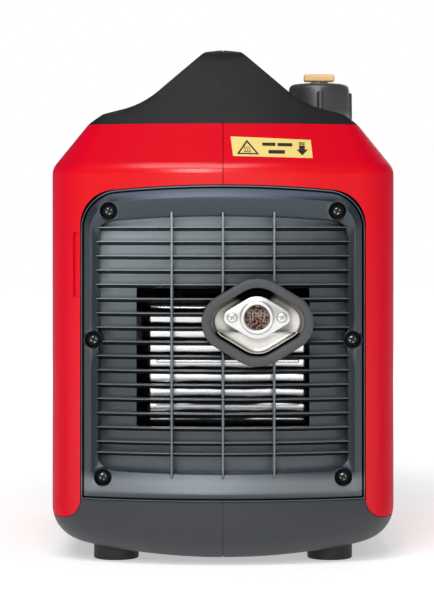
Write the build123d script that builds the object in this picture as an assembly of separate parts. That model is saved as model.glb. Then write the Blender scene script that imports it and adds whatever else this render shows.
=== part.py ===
from build123d import *

import math
import os

# Portable inverter generator: a suitcase-style plastic case around a small engine, its alternator and
# inverter. The frame is in millimetres, with its origin on the floor under the middle of the case. +Z is up,
# -Y points out of the exhaust end, +Y out of the control panel, and +X out of the recoil starter's side.

os.makedirs("parts", exist_ok=True)

# Case
CASE_WIDTH = 290.0
CASE_LENGTH = 492.0
END_RADIUS = 300.0  # plan radius of the two bulged ends
CORNER_RADIUS = 50.0  # plan radius between an end and a side
WALL = 3.0
CREASE_Z = 330.0  # the walls lean in above this height
RIM_Z = 367.0  # the coloured shells end here and the top cover starts
SHOULDER_INSET = 30.0
CREASE_RADIUS = 14.0
BOTTOM_Z = 5.0  # lowest point of the crowned underside
CROWN_RADIUS = 700.0
BOTTOM_RADIUS = 30.0
SEAM = 0.7  # gap between the left and right halves
GAP = 0.5  # gap between neighbouring covers
TOP_Z = 432.0
HANDLE_INSET = 70.0  # how far the handle's ends stand in from the case's ends

# End panels: the exhaust grille and the control panel have the same outline
PANEL_HALF_WIDTH = 118.5
PANEL_BOTTOM_Z = 54.0
PANEL_SIDE_TOP_Z = 308.0
PANEL_TOP_Z = 315.0
PANEL_CORNER = 29.0
BASE_SIDE_Z = 37.0  # top of the base along the sides
BASE_TIP_RADIUS = 17.0

# Exhaust outlet
OUTLET = (28.0, 206.0)  # x and z of the outlet pipe
DISH = (28.5, 202.0)  # x and z of the rubber ring and the polished dish
GROMMET_FACE_Y = -254.0
RING_DEPTH = 9.0
FLANGE_Y = -246.0
SCREEN_DEPTH = 1.0
LOZENGE_SLOPE = math.radians(31)
OUTLET_BOLT_SPACING = 41.0
BOLT_HOLE_END_Y = -224.0

# Fuel cap
CAP = (85.0, -95.0)
DECK_Z = 373.0
NECK_TOP_Z = 392.0

# Engine
CRANK = (15.0, 140.0)  # y and z of the crankshaft, which lies along X
CYLINDER_TILT = 20.0
CRANK_THROW = 21.5
ROD_LENGTH = 75.0
BORE_RADIUS = 24.3
CAVITY_RADIUS = 49.0  # room for the big end inside the crankcase
WEB_GAP = 12.0
TILT = Pos(0, *CRANK) * Rot(-CYLINDER_TILT, 0, 0)  # local -Y runs up the cylinder
EXHAUST_PORT = (20.0, -129.0, -40.2)  # under the cylinder head, in the tilted frame

FOOT_X, FOOT_Y, FOOT_RADIUS = 90.5, 182.0, 19.0


def write(name, shape):
    """Writes one named piece, made of one or more solids, to its own STEP file."""
    solids = shape.solids()
    export_step(Compound(children=list(solids)) if len(solids) > 1 else solids[0], f"parts/{name}.step")


def joined(shapes):
    """One list of separate solids from several shapes."""
    return Compound(children=[s for shape in shapes for s in shape.solids()])


def along_x(sketch, start, end):
    """Extrudes a sketch drawn as (y, z) from x = start to x = end."""
    return extrude(Plane((start, 0, 0), x_dir=(0, 1, 0), z_dir=(1, 0, 0)) * sketch, end - start)


def along_y(sketch, start, end):
    """Extrudes a sketch drawn as (x, z) from y = start to y = end."""
    return extrude(Plane((0, end, 0), x_dir=(1, 0, 0), z_dir=(0, -1, 0)) * sketch, end - start)


def along_z(sketch, start, end):
    """Extrudes a sketch drawn as (x, y) from z = start to z = end."""
    return extrude(Pos(0, 0, start) * sketch, end - start)


def block(low, high):
    """A box between two opposite corners."""
    size = [b - a for a, b in zip(low, high)]
    centre = [(a + b) / 2 for a, b in zip(low, high)]
    return Pos(*centre) * Box(*size)


def rod_x(radius, start, end, y, z):
    """A cylinder along X."""
    return Pos((start + end) / 2, y, z) * Rot(0, 90, 0) * Cylinder(radius, end - start)


def rod_y(radius, start, end, x, z):
    """A cylinder along Y."""
    return Pos(x, (start + end) / 2, z) * Rot(90, 0, 0) * Cylinder(radius, end - start)


def rod_z(radius, start, end, x, y):
    """A cylinder along Z."""
    return Pos(x, y, (start + end) / 2) * Cylinder(radius, end - start)


def tilted_point(x, y, z):
    """A point of the tilted cylinder's frame, in the part's frame."""
    return (TILT * Pos(x, y, z)).position


def tube_x(outer, inner, start, end, y, z):
    return rod_x(outer, start, end, y, z) - rod_x(inner, start - 1, end + 1, y, z)


def round_edges(solid, edges, radius):
    """Rounds the edges, or leaves them sharp where no such rounding exists."""
    try:
        rounded = fillet(edges, radius)
        return rounded if rounded.is_valid else solid
    except (ValueError, RuntimeError):
        return solid


def outline(points, radius=0.0):
    """A closed polygon sketch with every corner rounded."""
    face = make_face(Polyline(*points, close=True))
    return fillet(face.vertices(), radius) if radius else face


# ---------------------------------------------------------------- case form


def plan_outline(inset, corner=None):
    """The case seen from above, moved inwards by inset."""
    half_width = CASE_WIDTH / 2 - inset
    half_length = CASE_LENGTH / 2 - inset
    radius = END_RADIUS - inset
    sag = radius - math.sqrt(radius**2 - half_width**2)
    y = half_length - sag
    rim = Curve() + [
        ThreePointArc((-half_width, -y), (0, -half_length), (half_width, -y)),
        Line((half_width, -y), (half_width, y)),
        ThreePointArc((half_width, y), (0, half_length), (-half_width, y)),
        Line((-half_width, y), (-half_width, -y)),
    ]
    face = make_face(rim)
    return fillet(face.vertices(), corner if corner else CORNER_RADIUS - inset)


def level_edges(solid, z):
    """The edges that lie flat at height z."""
    return [
        e for e in solid.edges() if e.bounding_box().size.Z < 1e-3 and abs(e.center().Z - z) < 1e-3
    ]


def case_solid(inset):
    """The whole case as one solid, moved inwards by inset."""
    lean = math.atan2(SHOULDER_INSET, RIM_Z - CREASE_Z)
    crease = CREASE_Z - inset * (1 / math.cos(lean) - 1) / math.tan(lean)
    rim_inset = SHOULDER_INSET + inset / math.cos(lean)
    walls = along_z(plan_outline(inset), -BOTTOM_Z, crease)
    shoulder = loft(
        [
            Pos(0, 0, crease) * plan_outline(inset),
            Pos(0, 0, RIM_Z) * plan_outline(rim_inset, corner=20 - inset),
        ],
        ruled=True,
    )
    low = BOTTOM_Z + inset
    crown = CROWN_RADIUS - inset
    reach = CASE_WIDTH * 0.6
    rise = low + crown - math.sqrt(crown**2 - reach**2)
    above = make_face(
        Curve()
        + [
            ThreePointArc((-reach, rise), (0, low), (reach, rise)),
            Polyline((reach, rise), (reach, RIM_Z + 10), (-reach, RIM_Z + 10), (-reach, rise)),
        ]
    )
    solid = (walls + shoulder) & along_y(above, -CASE_LENGTH, CASE_LENGTH)
    solid = fillet(solid.faces().sort_by(Axis.Z)[0].edges(), BOTTOM_RADIUS - inset)
    return fillet(level_edges(solid, crease), CREASE_RADIUS - inset)


def wall_patch(outer_inset, inner_inset, sketch, end):
    """A plate that follows the bulged end wall between two insets, cut to an (x, z) outline.
    end is -1 for the exhaust end and 1 for the control end."""
    ring = along_z(plan_outline(outer_inset), 20, CREASE_Z) - along_z(plan_outline(inner_inset), 19, CREASE_Z + 1)
    span = (-CASE_LENGTH, -100) if end < 0 else (100, CASE_LENGTH)
    return ring & along_y(sketch, *span)


def side_patch(outer_inset, inner_inset, sketch, side):
    """The same for a side wall, cut to a (y, z) outline. side is -1 for the left and 1 for the right."""
    ring = along_z(plan_outline(outer_inset), 20, CREASE_Z) - along_z(plan_outline(inner_inset), 19, CREASE_Z + 1)
    span = (-CASE_WIDTH, -60) if side < 0 else (60, CASE_WIDTH)
    return ring & along_x(sketch, *span)


def panel_outline(grow=0.0):
    """The arched outline of both end panels, as (x, z)."""
    x = PANEL_HALF_WIDTH
    rim = Curve() + [
        Polyline((-x, PANEL_SIDE_TOP_Z), (-x, PANEL_BOTTOM_Z), (x, PANEL_BOTTOM_Z), (x, PANEL_SIDE_TOP_Z)),
        ThreePointArc((x, PANEL_SIDE_TOP_Z), (0, PANEL_TOP_Z), (-x, PANEL_SIDE_TOP_Z)),
    ]
    face = make_face(rim)
    top = face.vertices().sort_by(Axis.Y)[-2:]
    face = fillet(top, PANEL_CORNER)
    return offset(face, grow) if grow else face


def base_outline(grow=0.0):
    """The region of the case that belongs to the base, as (x, z)."""
    x = PANEL_HALF_WIDTH
    r = BASE_TIP_RADIUS
    c = math.sqrt(0.5) * r
    rim = Curve() + [
        Polyline((-x - r, PANEL_BOTTOM_Z - r), (-170, PANEL_BOTTOM_Z - r), (-170, -20), (170, -20)),
        Polyline((170, -20), (170, PANEL_BOTTOM_Z - r), (x + r, PANEL_BOTTOM_Z - r)),
        ThreePointArc((x + r, PANEL_BOTTOM_Z - r), (x + r - c, PANEL_BOTTOM_Z - c), (x, PANEL_BOTTOM_Z)),
        Line((x, PANEL_BOTTOM_Z), (-x, PANEL_BOTTOM_Z)),
        ThreePointArc((-x, PANEL_BOTTOM_Z), (-x - r + c, PANEL_BOTTOM_Z - c), (-x - r, PANEL_BOTTOM_Z - r)),
    ]
    face = make_face(rim)
    return offset(face, grow) if grow else face


def halves(solid):
    """Splits a solid at the centre seam. Returns the left half and the right half."""
    far = 2 * CASE_LENGTH
    left = solid & block((-far, -far, -far), (-SEAM / 2, far, far))
    right = solid & block((SEAM / 2, -far, -far), (far, far, far))
    return left, right


def lozenge(reach, side_radius, top_radius):
    """A rhombus with rounded corners, as (x, z). reach is the distance from the centre to each straight edge."""
    half_width = reach / math.sin(LOZENGE_SLOPE)
    half_height = reach / math.cos(LOZENGE_SLOPE)
    face = make_face(Polyline((-half_width, 0), (0, -half_height), (half_width, 0), (0, half_height), close=True))
    face = fillet(face.vertices().sort_by(Axis.X)[:1], side_radius)
    face = fillet(face.vertices().sort_by(Axis.X)[-1:], side_radius)
    face = fillet([v for v in face.vertices() if abs(v.X) < 1e-3], top_radius)
    return face


OUTER = case_solid(0)
INNER = case_solid(WALL)
SHELL = OUTER - INNER


# ---------------------------------------------------------------- outer shells

MAINTENANCE = [(-95, 75), (95, 75), (95, 285), (-95, 285)]  # y and z of the service cover's corners
LATCH = (62.0, 262.0)  # y and z
TAB_Z = (110.0, 250.0)
RECOIL_POCKET = [(112, 160), (168, 160), (168, 270), (112, 270)]
NOTCH_Z = (222.0, 276.0)
LOW_SCREW_Y, LOW_SCREW_Z, LOW_SCREW_RADIUS = 170.0, 58.0, 8.5  # blind recesses low on both sides
LOW_SCREW_FLOOR = CASE_WIDTH / 2 - WALL + 1.2  # x of their floors


def coloured_shells():
    """The two red halves, with openings for the end panels, the service cover and the recoil pocket."""
    body = SHELL - along_y(base_outline(GAP), -CASE_LENGTH, CASE_LENGTH)
    body -= along_z(plan_outline(SHOULDER_INSET + WALL, corner=16), RIM_Z - 12, RIM_Z + 5)
    body -= along_y(panel_outline(GAP), -CASE_LENGTH, -100)
    body -= along_y(panel_outline(GAP), 100, CASE_LENGTH)
    for side in (-1, 1):
        for y in (-LOW_SCREW_Y, LOW_SCREW_Y):
            body -= rod_x(LOW_SCREW_RADIUS, *sorted((side * LOW_SCREW_FLOOR, side * CASE_WIDTH)), y, LOW_SCREW_Z)
    left, right = halves(body)
    left -= along_x(outline(MAINTENANCE, 14), -CASE_WIDTH, -60)
    notch = Pos(-PANEL_HALF_WIDTH - 3, (NOTCH_Z[0] + NOTCH_Z[1]) / 2) * Rectangle(7, NOTCH_Z[1] - NOTCH_Z[0])
    left -= wall_patch(-5, 1.6, notch, -1)
    right -= along_x(offset(outline(RECOIL_POCKET, 16), GAP), 60, CASE_WIDTH)
    # cooling air slots over the recoil starter
    for row in range(11):
        z = 98 + row * 9.0
        half = math.sqrt(58**2 - (z - CRANK[1]) ** 2)
        right -= block((60, CRANK[0] - half, z), (200, CRANK[0] - 3, z + 4))
        right -= block((60, CRANK[0] + 3, z), (200, CRANK[0] + half, z + 4))
    return left, right


def service_cover():
    """The red cover over the service bay, its hook tabs, and its quarter-turn latch, drawn unlocked."""
    cover = side_patch(0, WALL, offset(outline(MAINTENANCE, 14), -GAP), -1)
    y, z = LATCH
    cover -= rod_x(9.5, -160, -120, y, z)
    edge = MAINTENANCE[0][0]
    inner = -CASE_WIDTH / 2 + WALL
    for tab_z in TAB_Z:
        cover += block((inner + GAP, edge - 7, tab_z - 12), (inner + 3, edge + 12, tab_z + 12))
        cover += block((inner - 0.5, edge + 4, tab_z - 12), (inner + 2, edge + 12, tab_z + 12))
    latch = rod_x(9.0, -145, inner + 2, y, z) + rod_x(12.0, inner + GAP, inner + 2, y, z)
    latch -= block((-146, y - 1.4, z - 6), (-143.2, y + 1.4, z + 6))
    latch += block((inner + GAP, y - 5, z - 26), (inner + 2.5, y + 5, z))
    return cover, latch


def base_halves():
    """The dark base tray, with a hole for each foot bolt."""
    tray = SHELL & along_y(base_outline(), -CASE_LENGTH, CASE_LENGTH)
    tray = tray & along_z(plan_outline(-5), -20, PANEL_BOTTOM_Z - GAP / 2)
    for x in (-FOOT_X, FOOT_X):
        for y in (-FOOT_Y, FOOT_Y):
            tray -= rod_z(3.2, -5, 40, x, y)
    return halves(tray)


def feet_and_bolts():
    """Four rubber feet, each held by a bolt from a pocket in its underside."""
    feet, bolts = [], []
    for x in (-FOOT_X, FOOT_X):
        for y in (-FOOT_Y, FOOT_Y):
            foot = rod_z(FOOT_RADIUS, 0, 32, x, y)
            foot = fillet(foot.faces().sort_by(Axis.Z)[0].edges(), 1.5)
            foot = (foot - OUTER).solids().sort_by(Axis.Z)[0]
            foot = foot - rod_z(8, -1, 5, x, y) - rod_z(3.2, 4, 40, x, y)
            feet.append(foot)
            bolts.append(rod_z(3.0, 5, 24, x, y) + rod_z(6.5, 2, 5, x, y))
    return joined(feet), joined(bolts)


# ---------------------------------------------------------------- top cover

# Half of the end silhouette of the cover, from the rim up to the handle's crown, as (x, z).
FLARE = [(115.2, RIM_Z), (101.5, 376.0), (68.0, 384.0), (15.6, 429.8), (0.0, TOP_Z)]
FLARE_RADIUS = 70.0
HANDLE_HALF = 17.0
GRIP_UNDERSIDE_Z = 409.0
GRIP_HALF_LENGTH = 100.0
WING_INNER_Y = 130.0  # the flared pillars end here, at deck level


def flare_outline(inset):
    """The end silhouette: a shoulder over the rim, then a concave sweep up to the handle."""
    low = RIM_Z - 12
    left = [(-x, z) for x, z in reversed(FLARE[:-1])]
    face = make_face(Polyline((FLARE[0][0], low), *FLARE, *left, (left[-1][0], low), close=True))
    for (_, corner_z), radius in zip(FLARE[1:4], (8, FLARE_RADIUS, 6)):
        face = fillet([v for v in face.vertices() if abs(v.Y - corner_z) < 0.01], radius)
    return offset(face, -inset) if inset else face


def cover_form(inset):
    """The top cover as one solid, moved inwards by inset: two flared pillars, the deck and the handle."""
    base_inset = SHOULDER_INSET + 0.3 + inset
    bound = loft(
        [
            Pos(0, 0, RIM_Z) * plan_outline(base_inset, corner=20 - inset),
            Pos(0, 0, TOP_Z) * plan_outline(HANDLE_INSET + inset, corner=14 - inset),
        ],
        ruled=True,
    )
    half = CASE_LENGTH / 2 - HANDLE_INSET
    side = outline(
        [(-half - 60, RIM_Z - 10), (-half - 43, RIM_Z - 10 + 5), (-half, TOP_Z), (half, TOP_Z)]
        + [(half + 43, RIM_Z - 10 + 5), (half + 60, RIM_Z - 10)]
    )
    crown = [v for v in side.vertices() if v.Y > TOP_Z - 1]
    side = fillet(crown, 26)
    side = offset(side, -inset) if inset else side
    form = bound & along_y(flare_outline(inset), -CASE_LENGTH, CASE_LENGTH) & along_x(side, -CASE_WIDTH, CASE_WIDTH)
    # between the pillars only the deck and the handle remain
    wing = make_face(
        Polyline(
            (-WING_INNER_Y, DECK_Z), (WING_INNER_Y, DECK_Z), (WING_INNER_Y + 22, TOP_Z + 30),
            (-WING_INNER_Y - 22, TOP_Z + 30), close=True,
        )
    )
    wing = fillet(wing.vertices().sort_by(Axis.Y)[:2], 9)
    wing = offset(wing, inset) if inset else wing
    edge = HANDLE_HALF - inset
    form -= along_x(wing, edge, CASE_WIDTH)
    form -= along_x(wing, -CASE_WIDTH, -edge)
    grip = outline(
        [
            (-GRIP_HALF_LENGTH, DECK_Z), (GRIP_HALF_LENGTH, DECK_Z),
            (GRIP_HALF_LENGTH, GRIP_UNDERSIDE_Z), (-GRIP_HALF_LENGTH, GRIP_UNDERSIDE_Z),
        ],
        12,
    )
    grip = offset(grip, inset) if inset else grip
    return form - along_x(grip, -HANDLE_HALF - 1, HANDLE_HALF + 1)


def top_cover_halves():
    """Left and right halves of the top cover, with the hole for the filler neck on the right."""
    outside = cover_form(0)
    grip_edges = [
        e for e in outside.edges()
        if abs(e.center().Z - GRIP_UNDERSIDE_Z) < 1e-3 and abs(abs(e.center().X) - HANDLE_HALF) < 1e-3
    ]
    outside = round_edges(outside, grip_edges, 6)
    cover = outside - cover_form(WALL)
    cover -= rod_z(24, DECK_Z - 20, DECK_Z + 5, *CAP)
    return halves(cover)


# ---------------------------------------------------------------- exhaust end

OPENING_HALF = 103.6
SCREWS = [(94.7, 293.8), (107.6, 187.0), (99.7, 73.0)]  # x and z, mirrored to the other side
SLAT_TOP_Z, SLAT_PITCH, SLAT_COUNT, LAST_SLAT_Z = 280.0, 11.83, 16, 93.5
BAR_X = (-42.3, 0.0, 42.3)
SLAT_DEPTH = 6.7  # inset of the slats' back edges
SCREW_SEAT_RADIUS = 6.6


def grille_opening(grow=0.0):
    """The arched opening behind the slats, as (x, z)."""
    x = OPENING_HALF
    rim = Curve() + [
        ThreePointArc((-x, 284.5), (0, 289.4), (x, 284.5)),
        Line((x, 284.5), (x, 80.0)),
        ThreePointArc((x, 80.0), (0, 77.4), (-x, 80.0)),
        Line((-x, 80.0), (-x, 284.5)),
    ]
    face = fillet(make_face(rim).vertices(), 13)
    return offset(face, grow) if grow else face


def both_sides(points):
    return [(side * x, z) for x, z in points for side in (-1, 1)]


def rear_grille():
    """The exhaust grille: frame, slats, uprights, screw bosses and the collar that carries the rubber ring."""
    bosses = [Pos(x, z) * Circle(9.5) for x, z in both_sides(SCREWS)]
    opening = grille_opening() - bosses
    grille = wall_patch(-1.0, WALL, panel_outline(), -1) - along_y(opening, -CASE_LENGTH, -100)
    reach = grille_opening(3.5)
    heights = [SLAT_TOP_Z - i * SLAT_PITCH for i in range(SLAT_COUNT)] + [LAST_SLAT_Z]
    slats = [Pos(0, z) * Rectangle(2 * OPENING_HALF + 20, 2.0) for z in heights]
    grille += wall_patch(0.5, SLAT_DEPTH, (Sketch() + slats) & reach, -1)
    bars = [Pos(x, 183) * Rectangle(2.4, 230) for x in BAR_X]
    grille += wall_patch(-1.4, SLAT_DEPTH - 1.5, (Sketch() + bars) & grille_opening(2.5), -1)
    hollow = along_y(Pos(*DISH) * lozenge(31.0, 20, 27), -270, -150)
    collar = along_y(Pos(*DISH) * lozenge(33.5, 22, 29), GROMMET_FACE_Y + 5, -228)
    grille -= along_y(Pos(*DISH) * lozenge(36.0, 24.7, 31.2), -270, GROMMET_FACE_Y + RING_DEPTH + 0.3)
    grille = grille - along_y(Pos(*DISH) * lozenge(33.0, 22, 28), -270, -150) + (collar - hollow)
    for x, z in both_sides(SCREWS):
        seat_y = screw_seat_y(x)
        grille -= rod_y(5.4, seat_y + 2, -150, x, z)
        grille += rod_y(9.5, seat_y - 1, seat_y + 2, x, z)
        grille -= rod_y(SCREW_SEAT_RADIUS, -270, seat_y, x, z)
        grille -= rod_y(2.4, -270, -150, x, z)
    return grille


def end_wall_y(x, inset=0.0):
    """The y of the exhaust end's wall at x, with the rounded corners left out."""
    radius = END_RADIUS - inset
    return -(CASE_LENGTH / 2 - inset) + radius - math.sqrt(radius**2 - x**2)


def screw_seat_y(x):
    return end_wall_y(x) + 4.0


def cross_screw(x, z, seat_y, radius=3.8, length=14.0):
    """A pan-head screw along Y with a cross recess in its head, which faces the exhaust end."""
    head = rod_y(radius, seat_y - 2.6, seat_y, x, z)
    head = round_edges(head, head.edges().sort_by(Axis.Y)[0], 1.0)
    for width, height in ((1.1, 4.6), (4.6, 1.1)):
        head -= block((x - width / 2, seat_y - 3, z - height / 2), (x + width / 2, seat_y - 1.2, z + height / 2))
    return head + rod_y(2.2, seat_y, seat_y + length, x, z)


def exhaust_outlet():
    """The rubber ring, polished dish, outlet flange, spark screen and the two flange screws."""
    ring = along_y(Pos(*DISH) * lozenge(35.5, 24.2, 30.7), GROMMET_FACE_Y, GROMMET_FACE_Y + RING_DEPTH)
    ring = round_edges(ring, ring.faces().sort_by(Axis.Y)[0].edges(), 2.5)
    ring -= along_y(Pos(*DISH) * lozenge(27.7, 16.8, 22.5), -270, -200)
    ring -= along_y(Pos(*DISH) * lozenge(33.8, 22.3, 29.3), GROMMET_FACE_Y + 5, -200)
    dish = along_y(Pos(*DISH) * lozenge(29.8, 19.0, 25.6), -248, -226)
    dish -= along_y(Pos(*DISH) * lozenge(28.6, 17.8, 24.4), -260, -227.2)
    dish -= rod_y(13.2, -260, -200, *OUTLET)
    for side in (-1, 1):
        dish -= rod_y(6.2, -260, -200, OUTLET[0] + side * OUTLET_BOLT_SPACING / 2, OUTLET[1])
    flange = along_y(Pos(*OUTLET) * lozenge(17.4, 6.5, 17.3), FLANGE_Y - 2.5, FLANGE_Y)
    flange = round_edges(flange, flange.faces().sort_by(Axis.Y)[0].edges(), 0.8)
    lip = rod_y(14.0, FLANGE_Y - 6, FLANGE_Y - 2.5, *OUTLET)
    lip = round_edges(lip, lip.faces().sort_by(Axis.Y)[0].edges(), 1.6)
    flange = flange + lip - rod_y(10.3, -270, -230, *OUTLET)
    screen = rod_y(12.0, FLANGE_Y, FLANGE_Y + SCREEN_DEPTH, *OUTLET)
    screws = []
    for side in (-1, 1):
        x = OUTLET[0] + side * OUTLET_BOLT_SPACING / 2
        flange -= rod_y(2.6, -270, -230, x, OUTLET[1])
        screws.append(cross_screw(x, OUTLET[1], FLANGE_Y - 2.5, length=12.0))
    return ring, dish, flange, screen, joined(screws)


SHIELD_LOW, SHIELD_HIGH = (-68.0, 110.0), (76.0, 220.0)  # x and z of the heat shield's corners
DUCT_INSET = 13.5  # how far the duct's front plate stands behind the end wall


def rounded_box(low, high, radius):
    return round_edges(block(low, high), block(low, high).edges(), radius)


def exhaust_box():
    """The muffler, its polished heat shield, the plastic duct behind the grille and the exhaust pipe."""
    (x0, z0), (x1, z1) = SHIELD_LOW, SHIELD_HIGH
    muffler = rounded_box((x0 + 8, -196, z0 + 8), (x1 - 8, -160, z1 - 8), 10)
    muffler -= rounded_box((x0 + 10, -194, z0 + 10), (x1 - 10, -162, z1 - 10), 8)
    stub = rod_y(12.5, FLANGE_Y + SCREEN_DEPTH, -194, *OUTLET)
    for side in (-1, 1):
        stub += rod_y(5.6, FLANGE_Y, -194, OUTLET[0] + side * OUTLET_BOLT_SPACING / 2, OUTLET[1])
    muffler += stub
    muffler -= rod_y(9.5, -260, -190, *OUTLET)
    for side in (-1, 1):
        muffler -= rod_y(2.4, -260, BOLT_HOLE_END_Y, OUTLET[0] + side * OUTLET_BOLT_SPACING / 2, OUTLET[1])
    inlet = (EXHAUST_PORT[0], tilted_point(*EXHAUST_PORT[:2], EXHAUST_PORT[2] - 15.6).Z)
    muffler -= rod_y(8.0, -170, -150, *inlet)
    shield = rounded_box((x0, -202, z0), (x1, -170, z1), 9)
    shield -= rounded_box((x0 + 1, -201, z0 + 1), (x1 - 1, -150, z1 - 1), 8)
    for z in (132, 150, 168, 186):
        shield += rounded_box((x0 + 12, -203.5, z - 1.5), (x1 - 12, -201.2, z + 1.5), 1.0)
    shield -= rod_y(14.0, -260, -190, *OUTLET)
    for side in (-1, 1):
        shield -= rod_y(6.4, -260, -190, OUTLET[0] + side * OUTLET_BOLT_SPACING / 2, OUTLET[1])
    plate = outline([(-110, 62), (110, 62), (110, 304), (-110, 304)], 12)
    window = outline([(-72, 113.6), (72, 113.6), (72, 230.8), (-72, 230.8)], 3)
    duct = wall_patch(DUCT_INSET, DUCT_INSET + 2.5, plate - window, -1)
    rim = plate - offset(plate, -2.5)
    duct += wall_patch(11.5, DUCT_INSET + 1, rim, -1)
    for dx in (-1, 0, 1):
        x = OUTLET[0] + dx * OUTLET_BOLT_SPACING / 2
        duct -= rod_y(14.5 if dx == 0 else 7.5, -260, -190, x, OUTLET[1])
    duct -= along_y(Pos(*DISH) * lozenge(34.5, 23, 30), -260, -150)
    for x, z in both_sides(SCREWS):
        seat = screw_seat_y(x)
        duct += rod_y(5.0, seat + 2.3, seat + DUCT_INSET, x, z)
        duct -= rod_y(2.25, seat, seat + DUCT_INSET + 1, x, z)
    port, down = tilted_point(*EXHAUST_PORT), tilted_point(*EXHAUST_PORT[:2], EXHAUST_PORT[2] - 15.6)
    route = FilletPolyline(port, down, (inlet[0], -159.9, down.Z), radius=18)
    bend = sweep(Plane(route @ 0, z_dir=route % 0) * (Circle(9) - Circle(7.2)), path=route)
    return muffler, shield, duct, bend


def hot_label():
    """A thin sticker on the leaning band above the grille, right of the seam."""
    span = along_y(outline([(8.3, 339.1), (74.4, 337.6), (73.2, 353.1), (6.3, 355.8)], 0.8), -CASE_LENGTH, -100)
    return (case_solid(-0.35) - OUTER) & span


# ---------------------------------------------------------------- fuel


def fuel_tank():
    """A hollow tank under the top cover, with its filler neck."""
    tank = rounded_box((-110, -128, 290), (112, 126, 363), 14)
    tank += rod_z(22, 361, NECK_TOP_Z, *CAP)
    tank -= rounded_box((-107.5, -125.5, 292.5), (109.5, 123.5, 360.5), 11.5)
    return tank - rod_z(19, 350, NECK_TOP_Z + 1, *CAP)


def fuel_cap_parts():
    """The threaded insert, the ribbed cap that turns on it, and the vent lever on top."""
    insert = rod_z(25.0, 376, 395.5, *CAP) - rod_z(22.3, 375, NECK_TOP_Z + 0.3, *CAP)
    insert += rod_z(6.0, 395.5, 399.5, *CAP)
    cap = rod_z(27.0, 375.5, 407, *CAP)
    cap = fillet(cap.faces().sort_by(Axis.Z)[-1].edges(), 4)
    cap -= rod_z(25.4, 375, 395.9, *CAP)
    cap -= rod_z(6.3, 395, 399.9, *CAP)
    fins = 4
    for i in range(fins):
        angle = 2 * math.pi * i / fins
        cx, cy = CAP[0] + 26.9 * math.cos(angle), CAP[1] + 26.9 * math.sin(angle)
        cap += rod_z(2.0, 375.5, 399, cx, cy) - rod_z(25.4, 375, 401, *CAP)
    cap += rod_z(7.5, 406.5, 408.5, *CAP)
    cap -= rod_z(3.0, 402, 409, *CAP)
    lever = block((CAP[0] - 13.5, CAP[1] - 6.0, 409.0), (CAP[0] + 13.5, CAP[1] + 6.0, 415.5))
    lever = fillet(lever.edges(), 1.6)
    lever += rod_z(2.9, 402.2, 410, *CAP)
    return insert, cap, lever


def fuel_hose():
    """The hose from the tank's underside to the carburettor, along its whole route."""
    route = FilletPolyline((-70, -84, 289.9), (-70, -84, 266), (-84, -104, 242), (-84, -104, 219), radius=16)
    return sweep(Plane(route @ 0, z_dir=route % 0) * (Circle(4) - Circle(2.2)), path=route)


# ---------------------------------------------------------------- engine and alternator


def cylinder_rod(radius, start, end, x=0.0, z=0.0):
    """A cylinder along the tilted bore, start and end measured out from the crankshaft."""
    return TILT * rod_y(radius, -end, -start, x, z)


def tilted_block(low, high):
    return TILT * block(low, high)


def crankcase_parts():
    """Crankcase, ball bearings and crankshaft halves."""
    y, z = CRANK
    case = rounded_box((-45, y - 55, z - 55), (45, y + 55, z + 55), 12)
    solid = case
    case -= rod_x(CAVITY_RADIUS, -36, 36, y, z)
    case -= rod_x(17, -50, 50, y, z)
    case -= cylinder_rod(28.9, 30, 90)
    case -= rod_x(8.1, -60, -30, y + 38, z - 30)
    for x in (-40, 40):
        case += block((x - 5, y - 55, z - 68), (x + 5, y + 55, z - 50)) - rod_x(CAVITY_RADIUS, -36, 36, y, z)
    bearings = joined([tube_x(17, 8.05, -45, -36, y, z), tube_x(17, 8.05, 36, 45, y, z)])
    left = rod_x(8, -58, -WEB_GAP, y, z) + rod_x(34, -26, -WEB_GAP, y, z)
    right = rod_x(8, WEB_GAP, 116, y, z) + rod_x(34, WEB_GAP, 26, y, z)
    return case, solid, bearings, joined([left, right])


def piston_and_rod():
    """Piston, connecting rod and its two pins, drawn at top dead centre."""
    pin = CRANK_THROW + ROD_LENGTH
    piston = cylinder_rod(BORE_RADIUS - 0.1, pin - 16, pin + 20)
    piston -= cylinder_rod(21, pin - 17, pin + 14)
    piston += TILT * rod_x(9.5, -22, -9.5, -pin, 0) + TILT * rod_x(9.5, 9.5, 22, -pin, 0)
    piston &= cylinder_rod(BORE_RADIUS - 0.1, pin - 17, pin + 21)
    for groove in (16.5, 12.5):
        piston -= cylinder_rod(BORE_RADIUS + 1, pin + groove, pin + groove + 1.4) - cylinder_rod(22.5, 60, 150)
    piston -= TILT * rod_x(6.05, -30, 30, -pin, 0)
    rod = TILT * rod_x(14, -8, 8, -CRANK_THROW, 0) + TILT * rod_x(9.5, -8, 8, -pin, 0)
    rod += tilted_block((-4, -pin, -6), (4, -CRANK_THROW, 6))
    rod = rod - TILT * rod_x(9.02, -20, 20, -CRANK_THROW, 0) - TILT * rod_x(6.02, -20, 20, -pin, 0)
    pins = joined([TILT * rod_x(9, -11, 11, -CRANK_THROW, 0), TILT * rod_x(6, -19, 19, -pin, 0)])
    return piston, rod, pins


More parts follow.
